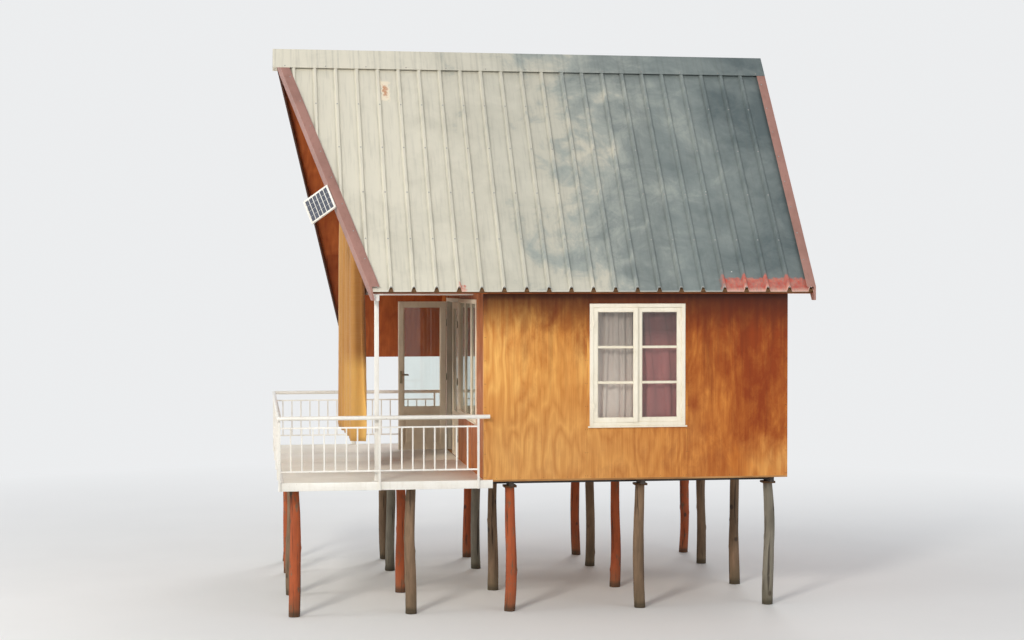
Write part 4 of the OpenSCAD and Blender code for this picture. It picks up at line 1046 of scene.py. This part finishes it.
def doors():
    """Both leaves, the left one standing open, and the frame with its stop."""
    lo, hi, left, right, head = opening("door_frame")
    width = (right - left - 3 * LEAF_GAP) / 2
    height = head - FLOOR - 2 * LEAF_GAP
    at_left, at_right = (Matrix.Translation((x, Y_FRONT - HINGE_BACK, FLOOR + LEAF_GAP))
                         for x in (left, right))
    at_right = at_right @ Matrix.Diagonal((-1, 1, 1, 1))
    stands_open = at_left @ Matrix.Rotation(-math.pi / 2, 4, "Z")
    for side, matrix in (("right", at_right), ("left", stands_open)):
        parts = Parts()
        leaf(parts, matrix, width, height)
        if side == "left":
            for y, out in ((HINGE_BACK, -1), (HINGE_BACK + LEAF_T, 1)):
                handle(parts, matrix, LEAF_GAP + width - STILE_W / 2, y, 1.0, out)
        piece(f"door_leaf_{side}_wood", parts, ["beige", "brass"], "door_leaf_" + side,
              "door_" + side)
    door = Parts()
    for x0, x1, low in ((lo.x, left, FLOOR), (right, hi.x, FLOOR), (left, right, head)):
        door.box((x0, Y_FRONT, low), (x1, Y_FRONT + WALL_T, hi.z), edge=0.003)
    stop, stop_t, behind = 0.012, 0.020, Y_FRONT + LEAF_T + 0.004
    for x0, x1, low in ((left, left + stop, FLOOR), (right - stop, right, FLOOR), (left, right, head - stop)):
        door.box((x0, behind, low), (x1, behind + stop_t, head))
    for matrix, z in itertools.product((at_left, at_right), HINGE_Z):
        half_hinge(door, matrix, z, -1)
    piece("door_frame_wood", door, ["cream", "brass"], "door_frame")


def upper_door():
    """The solid's own shape, with the joints of its frame and its two leaves cut in."""
    cuts = Parts()
    lo, hi, left, right, head = opening("upper_door")
    y0, y1 = lo.y - 0.01, lo.y + 0.006
    for x in (left, (lo.x + hi.x) / 2, right):
        cuts.box((x - SEAM_W / 2, y0, lo.z - 0.1), (x + SEAM_W / 2, y1, head), edge=0)
    cuts.box((left, y0, head - SEAM_W), (right, y1, head), edge=0)
    dressed("upper_door", "_wood", "beige", 0.002, cuts)


# Cloth


def skin(grid, hem_rows):
    """(points, faces, area) of a thin closed skin over rows of points, thicker at its hems."""
    rows, columns = len(grid) - 1, len(grid[0]) - 1
    thick, hem_thick = 0.0012, 0.00264
    width, count = columns + 1, (columns + 1) * (rows + 1)
    area, faces = 0.0, []
    for j, i in itertools.product(range(rows), range(columns)):
        a, b, c, d = grid[j][i], grid[j][i + 1], grid[j + 1][i + 1], grid[j + 1][i]
        area += ((b - a).cross(c - a).length + (c - a).cross(d - a).length) / 2
        first = j * width + i
        quad = [first, first + 1, first + 1 + width, first + width]
        faces += [quad, [count + q for q in quad[::-1]]]
    front, back = [], []
    for j, i in itertools.product(range(rows + 1), range(columns + 1)):
        left, right = grid[j][max(i - 1, 0)], grid[j][min(i + 1, columns)]
        low, high = grid[max(j - 1, 0)][i], grid[min(j + 1, rows)][i]
        half = (thick if hem_rows < j < rows - hem_rows else hem_thick) / 2
        offset = (right - left).cross(high - low).normalized() * half
        front.append(grid[j][i] + offset)
        back.append(grid[j][i] - offset)
    rim = list(range(columns)) + [j * width + columns for j in range(rows)]
    rim += [rows * width + i for i in range(columns, 0, -1)] + [j * width for j in range(rows, 0, -1)]
    for a, b in zip(rim, rim[1:] + rim[:1]):
        faces.append([b, a, count + a, count + b])
    return front + back, faces, area


def hung_cloth(name, points, folds, seed, look, node, gather, hem, billow=0.0,
               lift=(0.0, 0.0), fan=0.0):
    """Cloth that hangs in uneven rounded folds inside an upright solid, as a thin closed skin.

    billow swings its middle line across the box, from the front at one end to the rear at the other.
    lift is how far the wind has raised the hem at its two ends. fan bunches the folds at the head
    towards the first end.
    """
    matrix, size = upright(points)
    columns, rows = folds * 26, max(24, int(size.z / 0.075))
    rng = random.Random(seed)
    share = [rng.uniform(0.65, 1.45) for _ in range(folds)]
    share = np.cumsum([0.0] + share) / sum(share)
    depth = size.y / 2 - 0.006
    fold_w = size.x / folds

    def wave(x, y, z):
        return noise.noise(Vector((x, y, z)))

    def at(s, t):
        """s runs across the cloth and t from its hem to its head, both from 0 to 1."""
        drift = 0.55 * wave(s * folds * 0.55 + seed, t * 1.1, 0.0) * (1 - 0.75 * t)
        phase = math.tau * (np.interp(s, share, np.arange(folds + 1)) + drift)
        size_here = 0.66 + 0.5 * wave(s * folds * 0.9, t * 0.8, seed + 4.0)
        reach = min(1.0, (gather + (1 - gather) * (1 - t) ** 0.6) * (0.55 + size_here * 0.6))
        lean = 0.10 * wave(s * 3.0, t * 2.0, seed + 9.0)
        y = reach * 0.86 * math.cos(phase) + 0.08 * math.cos(3 * phase + 2 * t) + lean
        if billow:
            head = max(0.0, (t - 0.84) / 0.16) ** 2
            swing = (1 - head) * billow * math.sin(math.pi * (s - 0.5)) + head * 0.5
            y = swing + (1 - billow - 0.1 * head) * y
        y = max(-depth, min(depth, y * depth))
        x = s ** (1 + fan * t ** 1.5) * size.x + 0.085 * fold_w * math.sin(2 * phase) * reach
        x += 0.25 * fold_w * wave(s * folds * 0.4, t * 1.6, seed + 2.0) * (1 - t)
        x = size.x / 2 + (x - size.x / 2) * 0.97
        x = max(0.002, min(size.x - 0.002, x))
        raised = lift[0] + (lift[1] - lift[0]) * s
        return Vector((x, size.y / 2 + y, raised + t * (size.z - raised)))

    grid = [[at(i / columns, j / rows) for i in range(columns + 1)] for j in range(rows + 1)]
    corners, faces, area = skin(grid, max(1, round(hem / (size.z / rows))))
    parts = Parts()
    parts.add(corners, faces, matrix)
    made = piece(name, parts, [look], node, angle=180)
    drop = size.z - sum(lift) / 2
    round(area / drop, 3)


def curtains():
    hung_cloth("veranda_curtain_cloth", solids("veranda_curtain")[0], 7, 3, "ochre", "veranda_curtain",
               gather=0.8, hem=0.06, billow=0.25, lift=(0.22, 0.14))
    looks = {"right": ("pale_cloth", "mauve"), "front": ("olive_cloth", "olive_cloth")}
    for i, points in enumerate(solids("window_curtains")):
        x, y = points.mean(0)[:2]
        carrier = "{}_wall_sheets"
        if x > X_RIGHT - 0.3 or x < X_LEFT + 0.3:
            wall, first = "right" if x > MID.x else "left", y < Y_FRONT + 1.5 * SHEET_W
        elif y > Y_REAR - 0.3:
            wall, first = "rear", x < MID.x
        else:
            wall, first, carrier = "front", x < 1.0, "{}_wall_head_sheets"
        swept = wall == "right" and not first
        look = looks.get(wall, ("mauve", "mauve"))[0 if first else 1]
        hung_cloth(f"curtain_{wall}_{'a' if first else 'b'}", points, 4 if swept else 6, 20 + i, look,
                   "window_curtains", gather=0.7, hem=0.04,
                   fan=0.9 if swept else 0.0)


# Small fittings


def solar_panel():
    """White frame, cells under glass and a bent bracket, tilted out from the verge board."""
    rake = math.atan2(Y_FRONT - VERGE_REACH - NOSE_Y - NOSE_CUT, slope_length("right"))
    level = slope("right") @ Matrix.Translation((0, verge_y("right", 0), 0)) @ Matrix.Rotation(rake, 4, "Z")
    level = level @ Matrix.Translation((0, 0, CAP_N - PANEL_D))
    turned = level @ Matrix.Rotation(PANEL_TILT, 4, "X")
    back = turned.inverted()
    local = np.array([back @ v.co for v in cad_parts["solar_panel"].data.vertices])
    local = local[local[:, 2] > -0.001]
    lo, hi = Vector(local.min(0)), Vector(local.max(0))
    parts = Parts()
    rim, gap, columns = 0.016, 0.008, 6
    parts.ring(turned, lo, hi, rim, edge=0.002, up=1)
    parts.box((lo.x + rim, lo.y + rim, lo.z + 0.004), (hi.x - rim, hi.y - rim, hi.z - 0.004), turned,
              edge=0.001)
    left, right = lo.x + rim + gap, hi.x - rim - gap
    span = (hi.y - lo.y - 2 * rim - gap) / columns
    for k in range(columns):
        y = lo.y + rim + gap + k * span
        end = y + span - gap
        parts.box((left, y, hi.z - 0.0045), (right, end, hi.z - 0.003), turned, 1, 0.0005)
        for bar in (1, 2, 3):
            x = left + (right - left) * bar / 4
            parts.box((x - 0.001, y, hi.z - 0.0031), (x + 0.001, end, hi.z - 0.0026), turned, 0, 0.0001)
    middle, half, arm, thick = (lo.x + hi.x) / 2, 0.03, 0.075, 0.004
    bend = ((0, 0), (0, -arm), (-arm * math.cos(PANEL_TILT), -arm * math.sin(PANEL_TILT)))
    for x in (middle - half, middle + half - thick):
        parts.box((x, -thick, -arm), (x + thick, 0, 0), level, 2, 0.0005)
        parts.box((x, -arm, -thick), (x + thick, 0, 0), turned, 2, 0.0005)
        parts.convex([(at, y, z) for at in (x, x + thick) for y, z in bend],
                     [[0, 1, 2], [3, 4, 5], [0, 1, 4, 3], [1, 2, 5, 4], [2, 0, 3, 5]], level, 2)
    parts.box((middle - half, -0.003, -arm), (middle + half, 0, 0), level, 2, 0.0005)
    piece("solar_panel_unit", parts, ["white", "cells", "zinc"], "solar_panel")


def eave_lamp():
    """A bulb in its holder, on an arm from the rafter tube."""
    radius = 0.030
    lo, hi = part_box("eave_lamp")
    x, y, z = (lo.x + hi.x) / 2, lo.y + radius, lo.z
    lamp = Parts()
    back, arm = hi.y, hi.z - 0.010
    lamp.bar((x, back, arm), (x, back - 0.006, arm), 0.010, 20)
    lamp.bar((x, back - 0.005, arm), (x, y, arm), 0.008, 16)
    lamp.bar((x, y, z + 0.050), (x, y, hi.z), 0.021, 24, 0.003, tip=0.018)
    bulb = bmesh.new()
    bmesh.ops.create_uvsphere(bulb, u_segments=28, v_segments=18, radius=radius)
    points = []
    for v in bulb.verts:
        squeeze = 1 - 0.28 * max(0.0, v.co.z / radius) ** 3
        points.append((v.co.x * squeeze + x, v.co.y * squeeze + y, v.co.z + z + radius))
    lamp.add(points, [[v.index for v in f.verts] for f in bulb.faces], look=1)
    bulb.free()
    piece("eave_lamp_unit", lamp, ["white", "bulb"], "eave_lamp", angle=50)


# Light and camera


def stage():
    k = Look("studio_floor")
    x, y = k.parts(k.place)[:2]
    colour = k.over((0.80, 0.79, 0.77, 1), (0.82, 0.81, 0.79, 1), k.noise(k.place, 0.6, 3.0), 0.3, 0.7)
    plain = k.node("Emission", {"Color": BACKDROP, "Strength": 1.0})
    far_off = k.seen() * k.fit(k.sum("SQRT", x * x + y * y), 6.0, 16.0)
    size = 200.0
    mesh = bpy.data.meshes.new("studio_floor")
    corners = ((-size, -size), (size, -size), (size, size), (-size, size))
    mesh.from_pydata([(*corner, -0.002) for corner in corners], [], [[0, 1, 2, 3]])
    mesh.materials.append(k.done(k.blend(far_off, k.solid(colour, 0.9, Specular_IOR_Level=0.1), plain)))
    linked("studio_floor", mesh)


def aimed(name, data, place, aim):
    made = linked(name, data)
    made.location = place
    made.rotation_euler = (Vector(aim) - Vector(place)).to_track_quat("-Z", "Y").to_euler()
    return made


def lights():
    for name, place, aim, size, watts, colour in (
            ("key", (20.5, -12.0, 14.0), (0.2, 0, 3.2), 4.5, 2700, (1.0, 0.965, 0.90)),
            ("fill", (17.0, 14.0, 7.0), (0.2, 0, 3.0), 10.0, 600, (0.95, 0.97, 1.0)),
            ("front", (4.0, -20.0, 6.0), (0.2, 0, 3.0), 9.0, 1300, (1.0, 0.98, 0.95)),
            ("back", (-18.0, 6.0, 13.0), (0, 0, 3.2), 9.0, 1500, (0.97, 0.98, 1.0))):
        data = bpy.data.lights.new(name, "AREA")
        data.shape, data.size, data.energy, data.color = "DISK", size, watts, colour
        aimed(name, data, place, aim)
    k = Look("studio_world", bpy.data.worlds, "OutputWorld")
    soft = k.node("Background", {"Color": (0.90, 0.94, 1.0, 1), "Strength": 0.52})
    pale = k.node("Background", {"Color": BACKDROP, "Strength": 1.0})
    scene.world = k.done(k.blend(k.seen(), soft, pale))


def camera():
    data = bpy.data.cameras.new("photo_camera")
    data.lens, data.sensor_width, data.clip_end = 62.0, 36.0, 500.0
    scene.camera = aimed("photo_camera", data, (22.90, -3.45, 3.84), (0.2, -0.1, 3.4))


camera()
walls()
roof()
deck()
floors()
stilts()
steelwork()
casements()
front_window()
doors()
upper_door()
for pane in ("window_glass", "door_glass_right", "door_glass_left"):
    recoloured(pane, "glass")
curtains()
solar_panel()
eave_lamp()
stage()
lights()
scene.view_settings.view_transform = "Standard"
